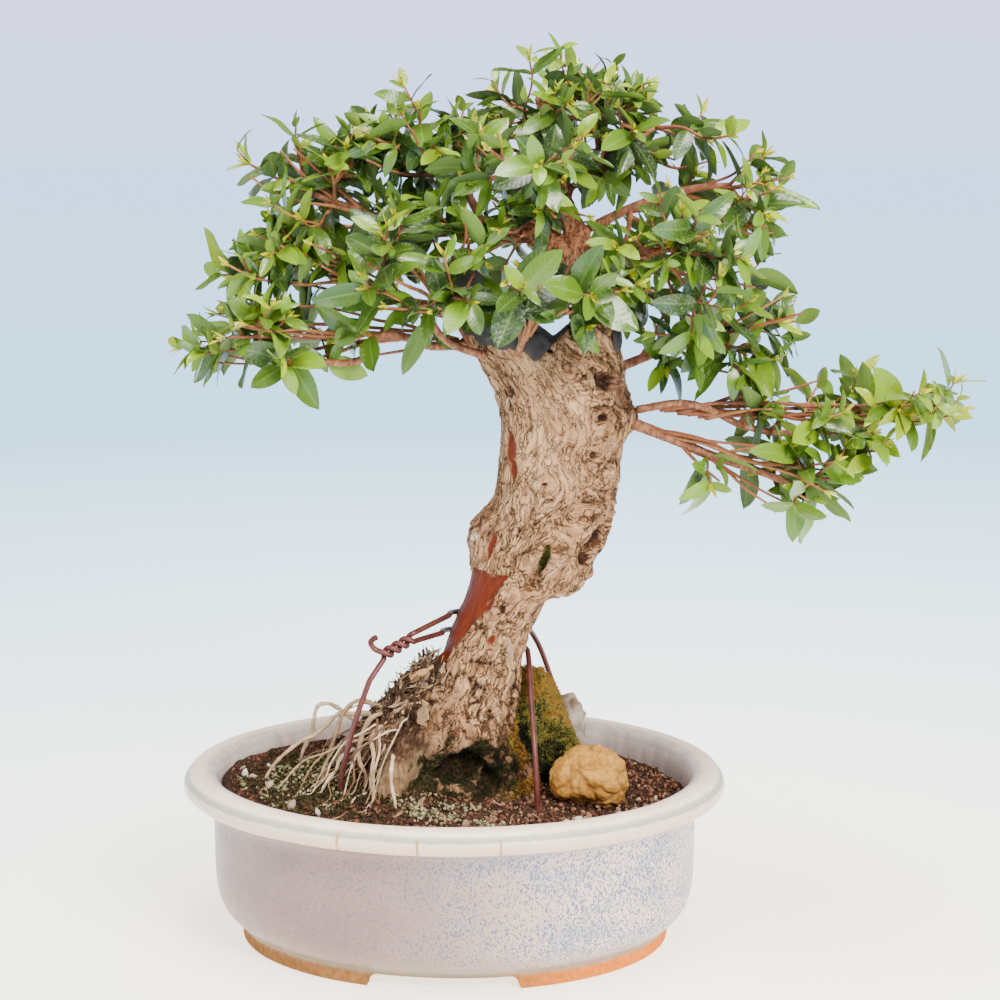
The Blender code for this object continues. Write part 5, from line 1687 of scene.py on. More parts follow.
# Grains over all the soil, or the crumbs between them, which have fewer faces.
def makeGrains(name, kind, detail):
    draw = random.Random(name)
    places, sizes, tones = [], [], []
    low, high = soilCare[kind + "Size"]
    for _ in range(soilCare[kind + "s"]):
        share = math.sqrt(draw.random()) * 0.985
        x, y = inPot(share, draw.uniform(0, 2 * math.pi), 1.8)
        size = (low + (high - low) * draw.random() ** 2.2) / 2
        mossy = math.exp(-((x + 60) / 46) ** 2 - ((y + 4) / 60) ** 2)
        places.append((x, y, soilHeight(x, y) + draw.uniform(-0.2, 0.75)))
        sizes.append(size * (1 - 0.35 * mossy))
        tones.append(draw.random() * (1 - 0.7 * mossy))
    points, faces, marks = scatteredLumps(places, sizes, tones, 5, 1, detail)
    buildPiece(name, points, faces, [grainFinish()], ("soil",), {"tone": marks})


def grainFinish():
    f = Finish("baked_clay_grains", 0.92, 0.2)
    tone = f.ramp(f.mark("tone"), (0, 0.016, 0.008, 0.005), (0.25, 0.06, 0.024, 0.013),
                  (0.5, 0.14, 0.053, 0.029), (0.75, 0.22, 0.092, 0.052), (0.94, 0.31, 0.17, 0.1),
                  (1, 0.44, 0.33, 0.23))
    f.colour(f.over(tone, (0.05, 0.026, 0.018), f.noise(1), (0.35, 0), (0.8, 0.6)))
    f.bumps((f.noise(0.7), 0.25))
    return f.material


# Moss: short pointed tufts, each a few three-sided spikes
def mossTufts(places, ways, tones, seed, reach):
    draws = np.random.default_rng(seed)
    points, faces, marks = [], [], []
    spikes = 4  # of three sides each, open below
    for place, way, tone in zip(places, ways, tones):
        place, way = Vector(place), Vector(way)
        for _ in range(spikes):
            lean = (way + Vector(draws.uniform(-0.75, 0.75, 3))).normalized()
            side = lean.orthogonal().normalized() * reach * 0.2 * draws.uniform(0.7, 1.3)
            other = lean.cross(side)
            start = place + Vector(draws.uniform(-0.6, 0.6, 3)) * reach * 0.5 - way * 0.3
            shift = len(points)
            points += [start + side, start - side * 0.5 + other * 0.87, start - side * 0.5 - other * 0.87,
                       start + lean * reach * draws.uniform(0.6, 1.2)]
            faces += [(shift + k, shift + (k + 1) % 3, shift + 3) for k in range(3)]
            tuft = tone + draws.uniform(-0.13, 0.13)
            marks += [tuft - 0.2, tuft - 0.2, tuft - 0.2, tuft + 0.12]
    return points, faces, marks


# Picks face middles of a piece where a mark is strong, by area.
def pickSpots(piece, strength, count, seed):
    faces = piece.data.polygons
    corners = np.array([face.vertices[0] for face in faces])
    weight = rowsOf(faces, "area", 1) * np.clip(strength[corners], 0, 1)
    draws = np.random.default_rng(seed)
    chosen = draws.choice(len(weight), count, p=weight / weight.sum())
    centres = (rowsOf(faces, "center") - np.array(layoutMiddle)) * 1000
    return centres[chosen], rowsOf(faces, "normal")[chosen]


def readMark(piece, name):
    return rowsOf(piece.data.attributes[name].data, "value", 1)


def mossFinish():
    tones = ((0, 0.006, 0.007, 0.004), (0.22, 0.02, 0.024, 0.008), (0.42, 0.075, 0.074, 0.018),
             (0.6, 0.2, 0.165, 0.032), (0.78, 0.23, 0.09, 0.012), (1, 0.34, 0.17, 0.036))
    return plainFinish("moss", 1, 0.1, "tone", tones)


# Stones

stoneCare = {
    "rockDetail": 6, "greyDetail": 5, "yellowDetail": 6,
    "slopeFoot": 64, "slope": 0.5,  # the mossy rock's right side leans back from here
}


def mossyMarks(points):
    rightTop = rise(points[:, 0] + 0.35 * (points[:, 2] - 95) + cloud(points, 9, 5, 2) * 8, 44, 60)
    leftTop = rise(points[:, 2] + cloud(points, 9, 6, 2) * 9, 108, 126)
    tone = 0.16 + 0.38 * rightTop + 0.46 * leftTop * (1 - 0.6 * rightTop) + cloud(points, 3.4, 7, 3) * 0.2
    dark = rise(86 - points[:, 2] + cloud(points, 8, 8) * 6, -6, 8)
    return np.clip(tone * (1 - 0.85 * dark), 0.02, 0.98)


def makeStones():
    shape = pebble(*mossyRock, stoneCare["rockDetail"], 14, 0.16)
    points, ways = skinOf(shape)
    push = cloud(points, 16, 11, 3) * 3.2 + cloud(points, 5, 12, 2) * 1.6 - 1.4
    points = points + ways * push[:, None]
    slope = stoneCare["slopeFoot"] - (points[:, 2] - 97) * stoneCare["slope"]
    beyond = np.clip(points[:, 0] - slope, 0, None) * rise(points[:, 2], 88, 100)
    points[:, 0] -= beyond * 0.75
    marks = {"tone": mossyMarks(points)}
    rock = buildPiece("mossy_rock_body", points, shape[1], [rockFinish()], ("mossy_rock",), marks)

    shape = pebble(*greyStone, stoneCare["greyDetail"], 5, 0.1)
    points, ways = skinOf(shape)
    _, room, number = plates(points, 12, 4)
    push = (number - 0.5) * 4.5 * rise(room, 0, 0.3) + cloud(points, 3, 14, 3) * 0.8 - 0.4
    points = points + ways * push[:, None]
    buildPiece("leaning_grey_stone", points, shape[1], [greyFinish()], ("grey_stone",))

    shape = pebble(*yellowStone, stoneCare["yellowDetail"], 22, 0.16)
    points, ways = skinOf(shape)
    warped = points + np.column_stack([cloud(points, 9, 20 + k, 2) for k in range(3)]) * 3.2
    lobe, room, _ = plates(warped, 12, 6)
    small = plates(warped, 5, 8)[0]
    crease = rise(0.22 - room, 0, 0.22) * rise(cloud(points, 9, 27), -0.5, 0.4)
    push = 2.6 * (0.6 - lobe) - crease + 0.7 * (0.5 - small) + cloud(points, 2.6, 24, 3) * 0.45 - 0.5
    points = points + ways * push[:, None]
    marks = {"crease": crease}
    buildPiece("lumpy_yellow_stone", points, shape[1], [yellowFinish()],
               ("yellow_stone",), marks)
    return rock


def rockFinish():
    tones = ((0, 0.005, 0.005, 0.003), (0.3, 0.01, 0.01, 0.004), (0.5, 0.022, 0.022, 0.006),
             (0.7, 0.055, 0.048, 0.011), (0.9, 0.075, 0.035, 0.008))
    return plainFinish("rock_under_moss", 1, 0.1, "tone", tones, (1.2, 5, 1), (3.4, 4, 1.4))


def greyFinish():
    f = Finish("grey_stone_skin", 0.85, 0.25)
    grey = f.ramp(f.noise(7, 6), (0.3, 0.15, 0.1, 0.065), (0.5, 0.3, 0.235, 0.18), (0.75, 0.48, 0.41, 0.35))
    f.colour(f.over(grey, (0.12, 0.09, 0.06), f.noise(1), (0.55, 0), (0.75, 0.7)))
    f.bumps((f.noise(1.5, 5), 0.5))
    return f.material


def yellowFinish():
    f = Finish("yellow_buff_stone", 0.88, 0.2)
    buff = f.ramp(f.noise(8, 5), (0.3, 0.27, 0.107, 0.014), (0.5, 0.41, 0.19, 0.029),
                  (0.72, 0.51, 0.28, 0.06))
    buff = f.over(buff, (0.62, 0.4, 0.13), f.noise(1.8, 4), (0.5, 0), (0.75, 0.55))
    buff = f.over(buff, (0.24, 0.1, 0.02), f.noise(2.4, 4), (0.3, 0.6), (0.45, 0))
    f.colour(f.mix(f.times(f.mark("crease"), 0.5), buff, (0.2, 0.085, 0.028)))
    f.bumps((f.noise(1.2, 4), 0.45))
    return f.material


# Thin roots: those of the solid in fine form, and finer forked ones between them

rootCare = {
    "moreRoots": 36,
    "reach": (14, 52),   # how far out each drops to the soil
    "run": (4, 22),      # how far it then runs along it
    "radius": (0.3, 0.8),
    "solidShare": 0.75,  # thickness of the solid's own thin roots here, as a share of the solid's
}
scrapCare = {
    "strips": 300, "stripLength": (4, 12), "stripWidth": (1.2, 4.4),
    "fibres": 240, "fibreLength": (5, 13), "fibreWidth": (0.3, 0.7),
}
# start, heading, facing, length, width, curl, thickness and tone: the chip under the wire, the large
# curled strip on the root mass and the loose flap on the trunk
bigScraps = (
    ((-18.5, -16.8, 137.5), (1, -0.1, 0.45), (-0.2, -0.8, 0.6), 14, 4.6, 0.3, 0.9, 1),
    ((-13, -27, 117), (0.35, -0.15, 0.9), (-0.4, -1, 0.1), 15, 8.5, 0.6, 0.7, 0.9),
    ((31, -26, 160), (0.08, -0.1, -1), (0.3, -1, 0.1), 15, 4.2, 0.35, 0.8, 0.8),
)


# A fine root that arches out from the root mass, drops to the soil, and runs on along it.
def fineRoot(draw):
    start = Vector((draw.uniform(-40, -18), draw.uniform(-34, -4), draw.uniform(98, 122)))
    way = math.radians(draw.gauss(212, 30))
    heading = Vector((math.cos(way), math.sin(way) * 0.75, 0))
    end = start + heading * draw.uniform(*rootCare["reach"])
    drop = draw.uniform(1.2, 2.6)
    bend = draw.uniform(1.5, 4.2)
    count = 6
    points = []
    for k in range(count):
        share = k / (count - 1)
        point = start.lerp(end, share)
        point += Vector([draw.uniform(-bend, bend) * (k > 0) for _ in range(3)])
        low = soilHeight(point.x, point.y) + 0.3
        arch = start.z + (low - start.z) * share ** drop
        point.z = max(low, arch + draw.uniform(-bend, bend) * 0.5 * (k > 0))
        points.append(point)
    run = draw.uniform(*rootCare["run"])
    for k in (1, 2, 3):
        point = points[count - 1] + heading * (run * k / 3)
        point += Vector((draw.uniform(-3, 3), draw.uniform(-3, 3), 0))
        point.z = soilHeight(point.x, point.y) + (0.5, 0.2, -1.2)[k - 1]
        points.append(point)
    return points


def knobblyTube(route, firstRadius, lastRadius, sides, seed):
    points = smoothRoute(route, 1.6)
    radii = []
    for k, radius in enumerate(spread((firstRadius, lastRadius), len(points))):
        radii.append(radius * (1 + 0.13 * math.sin(k * 0.9 + seed) + 0.1 * math.sin(k * 2.3 + 2 * seed)))
    return tube(points, radii, sides)


# The same route with more bends between its ends.
def kinked(route, draw):
    points = spaced([Vector(p) for p in route], 8)
    for point in points[1:-1]:
        point += jitter(draw, 1.7)
    return points


# Each shape's tone, once for each of its points.
def toneMarks(shapes, tones):
    return np.concatenate([np.full(len(shape[0]), tone) for shape, tone in zip(shapes, tones)])


def makeRoots():
    draw = random.Random("fine roots")
    shapes, tones = [], []
    for index, (route, first, last) in enumerate(thinRoots):
        share = rootCare["solidShare"]
        shapes.append(knobblyTube(kinked(route, draw), first * share, last * share, 10, index))
        tones.append(0.45 + 0.08 * index)
    for index in range(rootCare["moreRoots"]):
        route = fineRoot(draw)
        thick = draw.uniform(*rootCare["radius"])
        shapes.append(knobblyTube(route, thick, thick * 0.5, 8, index))
        tones.append(draw.random() ** 1.4)
        if draw.random() < 0.6:
            fork = route[3]
            side = Vector((draw.uniform(-14, -4), draw.uniform(-12, 10), 0))
            end = fork + side
            end.z = soilHeight(end.x, end.y) - 1
            middle = fork.lerp(end, 0.5) + Vector((0, 0, draw.uniform(0, 3)))
            middle.z = max(middle.z, soilHeight(middle.x, middle.y) + 0.3)
            shapes.append(knobblyTube([fork, middle, end], thick * 0.6, thick * 0.4, 6, index + 0.5))
            tones.append(draw.random())
    points, faces = joined(shapes)
    marks = {"tone": toneMarks(shapes, tones)}
    buildPiece("fine_roots", points, faces, [rootFinish()], ("trunk",), marks)


def rootFinish():
    f = Finish("fine_root_skin", 0.75, 0.25)
    skin = f.ramp(f.mark("tone"), (0, 0.12, 0.055, 0.026), (0.35, 0.28, 0.155, 0.078),
                  (0.7, 0.54, 0.38, 0.22), (1, 0.72, 0.55, 0.36))
    skin = f.over(skin, (0.2, 0.11, 0.058), f.noise(2.5, 4), (0.45, 0), (0.75, 0.75))
    f.colour(f.over(skin, (0.1, 0.06, 0.04), f.noise(7), (0.5, 0), (0.75, 0.7)))
    f.bumps((f.noise(1.2, 4), 0.3))
    return f.material


# Scraps of bark and fibre heaped on the root mass: thin curled strips
def strip(start, heading, facing, length, width, curl, thickness):
    side = heading.cross(facing).normalized()
    steps = 6
    points, faces = [], []
    for k in range(steps + 1):
        share = k / steps
        turn = curl * share
        along = heading * math.sin(turn) / max(curl, 0.01) + facing * (1 - math.cos(turn)) / max(curl, 0.01)
        middle = start + along * length
        half = 0.5 * width * (1 - 0.5 * share * share) * (0.7 + 0.3 * math.cos(k * 1.7 + length))
        normal = facing * math.cos(turn) - heading * math.sin(turn)
        points += [middle - side * half, middle + side * half]
        points += [middle + side * half * 0.8 + normal * thickness,
                   middle - side * half * 0.8 + normal * thickness]
    for k in range(steps):
        for j in range(4):
            a, b = k * 4 + j, k * 4 + (j + 1) % 4
            faces.append((a, b, b + 4, a + 4))
    faces.append((3, 2, 1, 0))
    last = steps * 4
    faces.append((last, last + 1, last + 2, last + 3))
    return points, faces


# A spot on the upper front side of the thickest root, with the ways along it and off it.
def onRootMass(draw):
    route, first, last = thickRoots[0]
    fine = smoothRoute(route, 1)
    share = draw.uniform(0.08, 0.86)
    k = int(share * (len(fine) - 2))
    along = (fine[k + 1] - fine[k]).normalized()
    toLeft = squared(Vector((-1, 0, 0.4)), along)
    toFront = along.cross(toLeft)
    toFront = toFront if toFront.y < 0 else -toFront
    turn = math.radians(draw.uniform(-35, 100))
    off = toLeft * math.cos(turn) + toFront * math.sin(turn)
    return fine[k] + off * (first + (last - first) * share + draw.uniform(-0.8, 1.6)), along, off


def makeScraps():
    draw = random.Random("scraps")
    shapes, tones = [], []
    for index in range(scrapCare["strips"] + scrapCare["fibres"]):
        start, along, off = onRootMass(draw)
        across = off.cross(along)
        heading = (along + across * draw.gauss(0, 0.5) + off * draw.uniform(-0.1, 0.07)).normalized()
        heading = heading * draw.choice((-1, 1))
        facing = squared(off, heading)
        kind, thick = ("strip", 0.5) if index < scrapCare["strips"] else ("fibre", 0.3)
        length = draw.uniform(*scrapCare[kind + "Length"])
        wide = draw.uniform(*scrapCare[kind + "Width"])
        start = start - heading * length * 0.5
        shapes.append(strip(start, heading, facing, length, wide, draw.uniform(0.2, 1.5), thick))
        tones.append(draw.random() ** 1.7)
    for start, heading, facing, *sizes, tone in bigScraps:
        heading = Vector(heading).normalized()
        shapes.append(strip(Vector(start), heading, squared(Vector(facing), heading), *sizes))
        tones.append(tone)
    points, faces = joined(shapes)
    marks = {"tone": toneMarks(shapes, tones)}
    buildPiece("bark_scraps", points, faces, [scrapFinish()], ("trunk",), marks, sharp=40)


def scrapFinish():
    f = Finish("bark_scraps_skin", 0.9, 0.2)
    tone = f.ramp(f.mark("tone"), (0, 0.02, 0.011, 0.007), (0.3, 0.075, 0.036, 0.019),
                  (0.6, 0.2, 0.108, 0.055), (0.85, 0.36, 0.235, 0.14), (1, 0.6, 0.33, 0.12))
    f.colour(f.over(tone, (0.05, 0.03, 0.02), f.noise(1.2, 4), (0.4, 0), (0.75, 0.6)))
    f.bumps((f.noise(1, 4, (1, 1, 0.4)), 0.4))
    return f.material


# Wires

wireCare = {"step": 0.9, "sides": 14}


def makeWire(name, node, points):
    route = smoothRoute(spaced(points, 2), wireCare["step"])
    points, faces = tube(route, [wireRadius] * len(route), wireCare["sides"])
    buildPiece(name, points, faces, [wireFinish()], (node,), sharp=50)


def wireFinish():
    f = Finish("anodised_wire", 0.38, 0.5, metal=0.35)
    f.colour(f.ramp(f.noise(9, 4), (0.3, 0.07, 0.017, 0.013), (0.6, 0.13, 0.032, 0.023),
                    (0.8, 0.2, 0.066, 0.044)))
    f.rough(f.ramp(f.noise(5), (0.3, 0.32), (0.7, 0.5)))
    f.bumps((f.noise(3), 0.08))
    return f.material


# Moss on the rock, at the trunk's foot and on the soil, and pale lichen crumbs

mossCare = {
    "rockTufts": 5000, "rockReach": 2.3,  # reach: of a spike, in mm
    "trunkTufts": 2300, "soilTufts": 2800, "reach": 1.7,
    "lichenCrumbs": 900, "lichenSize": (0.35, 1.15),
}


def makeMoss(rock, bark):
    tone = readMark(rock, "tone")
    places, ways = pickSpots(rock, 0.25 + tone, mossCare["rockTufts"], 9)
    tones = mossyMarks(places) + 0.04
    points, faces, marks = mossTufts(places, ways, tones, 31, mossCare["rockReach"])
    buildPiece("rock_moss", points, faces, [mossFinish()], ("mossy_rock",), {"tone": marks})

    places, ways = pickSpots(bark, rise(readMark(bark, "moss"), 0.2, 0.9), mossCare["trunkTufts"], 12)
    height, bearing, _ = onTrunk(places)
    orange = rise(bearing + cloud(places, 9, 61) * 16, -52, -26)
    tones = 0.12 + 0.66 * orange + cloud(places, 5, 15, 2) * 0.14
    tones = np.where(height > mossHollow[0] - 30, 0.5, tones)
    points, faces, marks = mossTufts(places, ways, tones, 33, mossCare["reach"])
    buildPiece("trunk_moss", points, faces, [mossFinish()], ("trunk",), {"tone": marks})

    draw = random.Random("soil moss")
    places, ways, tones = [], [], []
    while len(places) < mossCare["soilTufts"]:
        x, y = draw.gauss(-56, 26), draw.gauss(-14, 26)
        if math.hypot((x - potMiddle) / 112, y / 86) < 1:
            places.append((x, y, soilHeight(x, y) + 0.5))
            ways.append((0, 0, 1))
            tones.append(draw.uniform(0.12, 0.42))
    points, faces, marks = mossTufts(places, ways, tones, 37, mossCare["reach"])
    buildPiece("soil_moss", points, faces, [mossFinish()], ("soil",), {"tone": marks})


# Whitish green crumbs of lichen on the left mound and in front of the trunk
def makeLichen():
    draw = random.Random("lichen")
    places, sizes, tones = [], [], []
    clumps = [(draw.gauss(-62, 24), draw.gauss(-24, 20)) for _ in range(60)]
    clumps += [(draw.uniform(-16, 26), draw.uniform(-66, -44)) for _ in range(34)]
    for _ in range(mossCare["lichenCrumbs"]):
        x, y = draw.choice(clumps)
        x, y = x + draw.gauss(0, 2.4), y + draw.gauss(0, 2.4)
        if math.hypot((x - potMiddle) / 112, y / 86) < 1:
            places.append((x, y, soilHeight(x, y) + draw.uniform(0.4, 1.8)))
            sizes.append(draw.uniform(*mossCare["lichenSize"]))
            tones.append(draw.random())
    points, faces, marks = scatteredLumps(places, sizes, tones, 8, 0.7)
    colours = ((0, 0.085, 0.078, 0.034), (0.5, 0.2, 0.185, 0.095), (1, 0.42, 0.39, 0.26))
    crust = plainFinish("lichen", 1, 0.1, "tone", colours, (0.6, 3, 0.4))
    buildPiece("lichen_crumbs", points, faces, [crust], ("soil",), {"tone": marks})


# Small pebbles and dry leaf bits on the soil

litterCare = {"pebbleSize": (1.5, 3.2), "leafBits": 16, "leafLength": (5, 11), "leafWidth": (1.6, 3.6)}
pebblePlaces = (
    (-104, -8), (-99, -14), (-93, 2), (-107, 4), (-88, -30), (-60, -62), (86, -34), (97, -28), (92, -42),
    (66, -48), (60, -56), (104, -12), (-74, -54), (30, -62), (12, -66), (78, 30), (-40, 56), (20, 60),
)


def makeLitter():
    draw = random.Random("litter")
    places, sizes, tones = [], [], []
    for x, y in pebblePlaces:
        places.append((x, y, soilHeight(x, y) + 1))
        sizes.append(draw.uniform(*litterCare["pebbleSize"]))
        tones.append(draw.random())
    points, faces, marks = scatteredLumps(places, sizes, tones, 3, 0.65, 2)
    colours = ((0, 0.2, 0.12, 0.08), (0.5, 0.42, 0.33, 0.25), (1, 0.6, 0.56, 0.5))
    stony = plainFinish("small_pebbles", 0.75, 0.3, "tone", colours, (1.5, 4, 0.3))
    buildPiece("loose_pebbles", points, faces, [stony], ("soil",), {"tone": marks})
    shapes = []
    for _ in range(litterCare["leafBits"]):
        turn = draw.uniform(0, 2 * math.pi)
        x, y = inPot(draw.uniform(0.45, 0.92), turn)
        heading = Vector((math.cos(turn * 3), math.sin(turn * 3), draw.uniform(-0.1, 0.25))).normalized()
        length, width = draw.uniform(*litterCare["leafLength"]), draw.uniform(*litterCare["leafWidth"])
        start = Vector((x, y, soilHeight(x, y) + 1.3))
        shapes.append(strip(start, heading, squared(up, heading), length, width, 0.8, 0.3))
    points, faces = joined(shapes)
    dry = plainFinish("dry_leaf", 0.8, 0.3, (3, 4), ((0.3, 0.14, 0.07, 0.035), (0.7, 0.36, 0.22, 0.12)))
    buildPiece("dry_leaf_bits", points, faces, [dry], ("soil",), sharp=40)


# Pot: the solid's profile with its corners rounded, in one glaze with a bare foot

potCare = {
    "sides": 176, "cornerSteps": 6,
    "longestStep": 4,  # along the profile, in mm
    "gapRound": 4,     # radius of the passage's upper corners between the feet
}
# how round each corner of the profile is, in mm
potRounding = (2, 1, 1.2, 2, 6, 9, 10, 5, 4, 3, 4.6, 3, 3, 3, 5, 12, 4)
rimCracks = (-111, -94, -77)  # bearings in degrees of the rusty cracks in the rim


# A profile with each corner turned into a curve of the given reach.
def roundedProfile(profile, rounding, steps):
    points = [Vector(row) for row in profile]
    result = [points[0]]
    for i in range(1, len(points) - 1):
        before, here, after = points[i - 1], points[i], points[i + 1]
        reachBack = min(rounding[i], (here - before).length * 0.48)
        reachOn = min(rounding[i], (after - here).length * 0.48)
        first = here + (before - here).normalized() * reachBack
        last = here + (after - here).normalized() * reachOn
        for k in range(steps + 1):
            t = k / steps
            result.append(first * (1 - t) ** 2 + here * 2 * t * (1 - t) + last * t * t)
    result.append(points[-1])
    cut = [result[0]]
    for here in result[1:]:
        between = int((here - cut[-1]).length / potCare["longestStep"])
        for k in range(1, between + 1):
            cut.append(cut[-1].lerp(here, 1 / (between + 2 - k)))
        cut.append(here)
    return cut


def makePot():
    profile = roundedProfile(potProfile, potRounding, potCare["cornerSteps"])
    wall = loft([ovalRing(half, height, potCare["sides"]) for half, height in profile])
    half, top, bend = footGapWidth / 2, footHeight - 1.5, potCare["gapRound"]
    corners = []
    for k in range(7):
        turn = math.radians(k * 15)
        corners.append((half - bend + bend * math.cos(turn), top - bend + bend * math.sin(turn)))
    outline = [(half + 2, -1)] + corners
    outline = outline + [(-x, z) for x, z in reversed(outline)]
    tools = [loft([[Vector((potMiddle + x, y, z)) for x, z in reversed(outline)]
                   for y in (-potHalfLength, potHalfLength)])]
    for x in (-drainOffset, drainOffset):
        ends = [Vector((potMiddle + x, 0, recessHeight - 2)), Vector((potMiddle + x, 0, floorHeight + 2))]
        tools.append(tube(ends, (drainRadius, drainRadius), 40))
    shape = shapeFrom(combine("fine_pot", wall, tools, "DIFFERENCE"))
    points, ways = skinOf(shape)
    middle = points - np.array((potMiddle, 0, 0))
    push = cloud(points, 34, 81, 2) * 0.22 * rise(points[:, 2], 1.5, 8)
    points = points + ways * push[:, None]
    # right runs from 0 on the left to 1 on the right; it thickens the specks and carries painted light on
    # that side
    marks = {"height": points[:, 2] / potHeight, "right": rise(middle[:, 0] / potHalfLength, -0.35, 0.7),
             "inside": insideMark(middle)}
    # degrees to the nearest crack, each put where the wall has a row of corners
    step = 360 / potCare["sides"]
    turn = np.degrees(ovalTurn(middle))
    away = np.full(len(points), 4)
    for goal in rimCracks:
        away = np.minimum(away, np.abs(turned(turn, round(goal / step) * step)))
    marks["crack"] = away / 4
    buildPiece("glazed_pot", points, shape[1], [potFinish()], ("pot",), marks, sharp=45)


# The turn at which ovalRing puts each point, found by halving the range its oval may lie in.
def ovalTurn(middle):
    low, high = np.full(len(middle), ovalSqueeze + 1), np.full(len(middle), potHalfLength * 1.5)
    for _ in range(30):
        half = (low + high) / 2
        outside = np.hypot(middle[:, 0] / half, middle[:, 1] / (half - ovalSqueeze)) > 1
        low, high = np.where(outside, half, low), np.where(outside, high, half)
    return np.arctan2(middle[:, 1] / (half - ovalSqueeze), middle[:, 0] / half)


# 1 on the pot's inner wall and floor, 0 outside.
def insideMark(middle):
    height = middle[:, 2]
    edge = np.interp(height, (14, 24, 80, 89), [potHalfLength - d for d in (30, 24, 17, 13)])
    across = np.hypot(middle[:, 0] / edge, middle[:, 1] / (edge - ovalSqueeze))
    return rise(1 - across, -0.03, 0.01) * rise(height, 13, 15)


def potFinish():
    f = Finish("speckled_lilac_glaze", 0.3, 0.32)
    height, right = f.mark("height"), f.mark("right")
    lilac = f.ramp(f.noise(34, 4), (0.3, 0.197, 0.123, 0.113), (0.5, 0.23, 0.146, 0.132),
                   (0.72, 0.265, 0.172, 0.15))
    # painted light: the wall is painted lighter and warmer towards the right, as if lit more strongly from
    # that side
    lilac = f.over(lilac, (0.74, 0.56, 0.45), right, (0, 0), (0.45, 0.3), (1, 1))
    warm = f.ramp(f.noise(22), (0.55, 0), (0.75, 0.4))
    colour = f.mix(f.times(warm, right), lilac, (0.52, 0.36, 0.25))

    # blue specks, thick on the right and in level bands, thin and greyer on the left
    patches = f.ramp(f.noise(40, 3, (1, 1, 2.2)), (0.36, 0), (0.66, 0.08))
    dense = f.plus(f.times(right, 0.09), patches)
    fleck = f.plus(f.noise(0.85, 2, (1, 1, 0.6), 0.6), dense)
    blues = f.mix(right, (0.11, 0.1, 0.12), (0.055, 0.115, 0.25))
    colour = f.over(colour, blues, fleck, (0.6, 0), (0.66, 0.95))
    haze = f.times(f.ramp(patches, (0.02, 0), (0.07, 0.35)), right)
    colour = f.mix(haze, colour, (0.24, 0.3, 0.4))

    # the rim: pale pink, with painted shade making it darker down its face, a grey line at its edge and one
    # below it
    pinkish = f.ramp(f.noise(16), (0.35, 0.97, 0.76, 0.57), (0.65, 1, 0.84, 0.66))
    face = f.ramp(height, (0.9, 0.85), (0.985, 0))
    pinkish = f.mix(face, pinkish, (0.6, 0.41, 0.29))
    rim = f.ramp(height, (0.855, 0), (0.875, 0.95))
    colour = f.mix(rim, colour, pinkish)
    ragged = f.plus(height, f.times(f.noise(5, 4), 0.022))
    edge = f.ramp(ragged, (0.955, 0), (0.966, 0.8), (0.988, 0.55), (0.998, 0))
    colour = f.mix(edge, colour, (0.25, 0.28, 0.235))
    groove = f.ramp(height, (0.835, 0), (0.862, 0.55), (0.872, 0))
    colour = f.mix(groove, colour, (0.34, 0.31, 0.27))

    # olive where the glaze ends above the foot, paler inside, and rust in the rim's cracks
    olive = f.ramp(f.plus(height, f.times(f.noise(12, 4), 0.07)), (0.12, 0.95), (0.18, 0.45), (0.3, 0))
    colour = f.mix(olive, colour, (0.185, 0.155, 0.1))
    inner = f.ramp(f.noise(6, 4, (1, 1, 0.15)), (0.3, 0.34, 0.29, 0.28), (0.7, 0.56, 0.48, 0.46))
    colour = f.mix(f.times(f.mark("inside"), 0.8), colour, inner)
    rough = f.times(f.noise(2.5), 0.16)
    rust = f.ramp(f.plus(f.mark("crack"), rough), (0.1, 0.9), (0.17, 0))
    rust = f.times(rust, f.ramp(height, (0.84, 0), (0.86, 1), (0.95, 1), (0.975, 0)))
    colour = f.mix(rust, colour, (0.36, 0.16, 0.06))

    # the foot is bare clay
    bare = f.ramp(f.plus(height, f.times(f.noise(5, 4), 0.03)), (0.085, 1), (0.112, 0))
    grain = f.noise(3, 5)
    shaded = f.ramp(grain, (0.3, 0.165, 0.075, 0.026), (0.6, 0.25, 0.118, 0.04), (0.8, 0.33, 0.17, 0.07))
    sunny = f.ramp(grain, (0.3, 0.5, 0.135, 0.012), (0.6, 0.68, 0.19, 0.018), (0.8, 0.76, 0.27, 0.035))
    clay = f.over(shaded, sunny, right, (0.45, 0), (1, 1))
    colour = f.mix(bare, colour, clay)
    f.link(f.ramp(bare, (0, 0.32), (1, 0.05)), "Specular IOR Level")
    f.colour(colour)
    f.rough(f.mix(bare, f.ramp(f.noise(8), (0.3, 0.26), (0.7, 0.4)), (0.85, 0.85, 0.85)))
    f.bumps((f.noise(14), 0.4), (f.noise(2.2), 0.08))
    return f.material


# The plastic drain meshes are the solids themselves with a procedural finish.
def finishDrainMeshes():
    tones = ((0.3, 0.012, 0.012, 0.013), (0.7, 0.04, 0.04, 0.042))
    plastic = plainFinish("black_plastic_mesh", 0.5, 0.4, (6, 4), tones, (1.5, 3, 0.15))
    for name in ("drain_mesh_left", "drain_mesh_right"):
        mesh = bpy.data.objects[name].data
        mesh.materials.clear()
        mesh.materials.append(plastic)


# Stage: a round pale floor that fades into a pale sky, soft lights and the photo's view

stageCare = {
    "floorRadius": 1.8,                           # places and sizes are in metres
    "glow": 2.3, "warm": (1, 0.9, 0.74),          # the floor's own light at its middle
    "horizonGlow": 2.7, "horizon": (0.42, 0.72, 1),
    "cameraFrom": (0.0802, -1.1472, 0.439),
    "cameraWay": (-0.04699, 0.98194, -0.18327),
    "lens": 84.56,                                # in mm, over a sensor of 36
    "overhead": 40, "frontRight": 50, "left": 8,  # power of each lamp
}


# Brightness times colour.
def lit(colour, strength):
    return tuple(channel * strength for channel in colour)


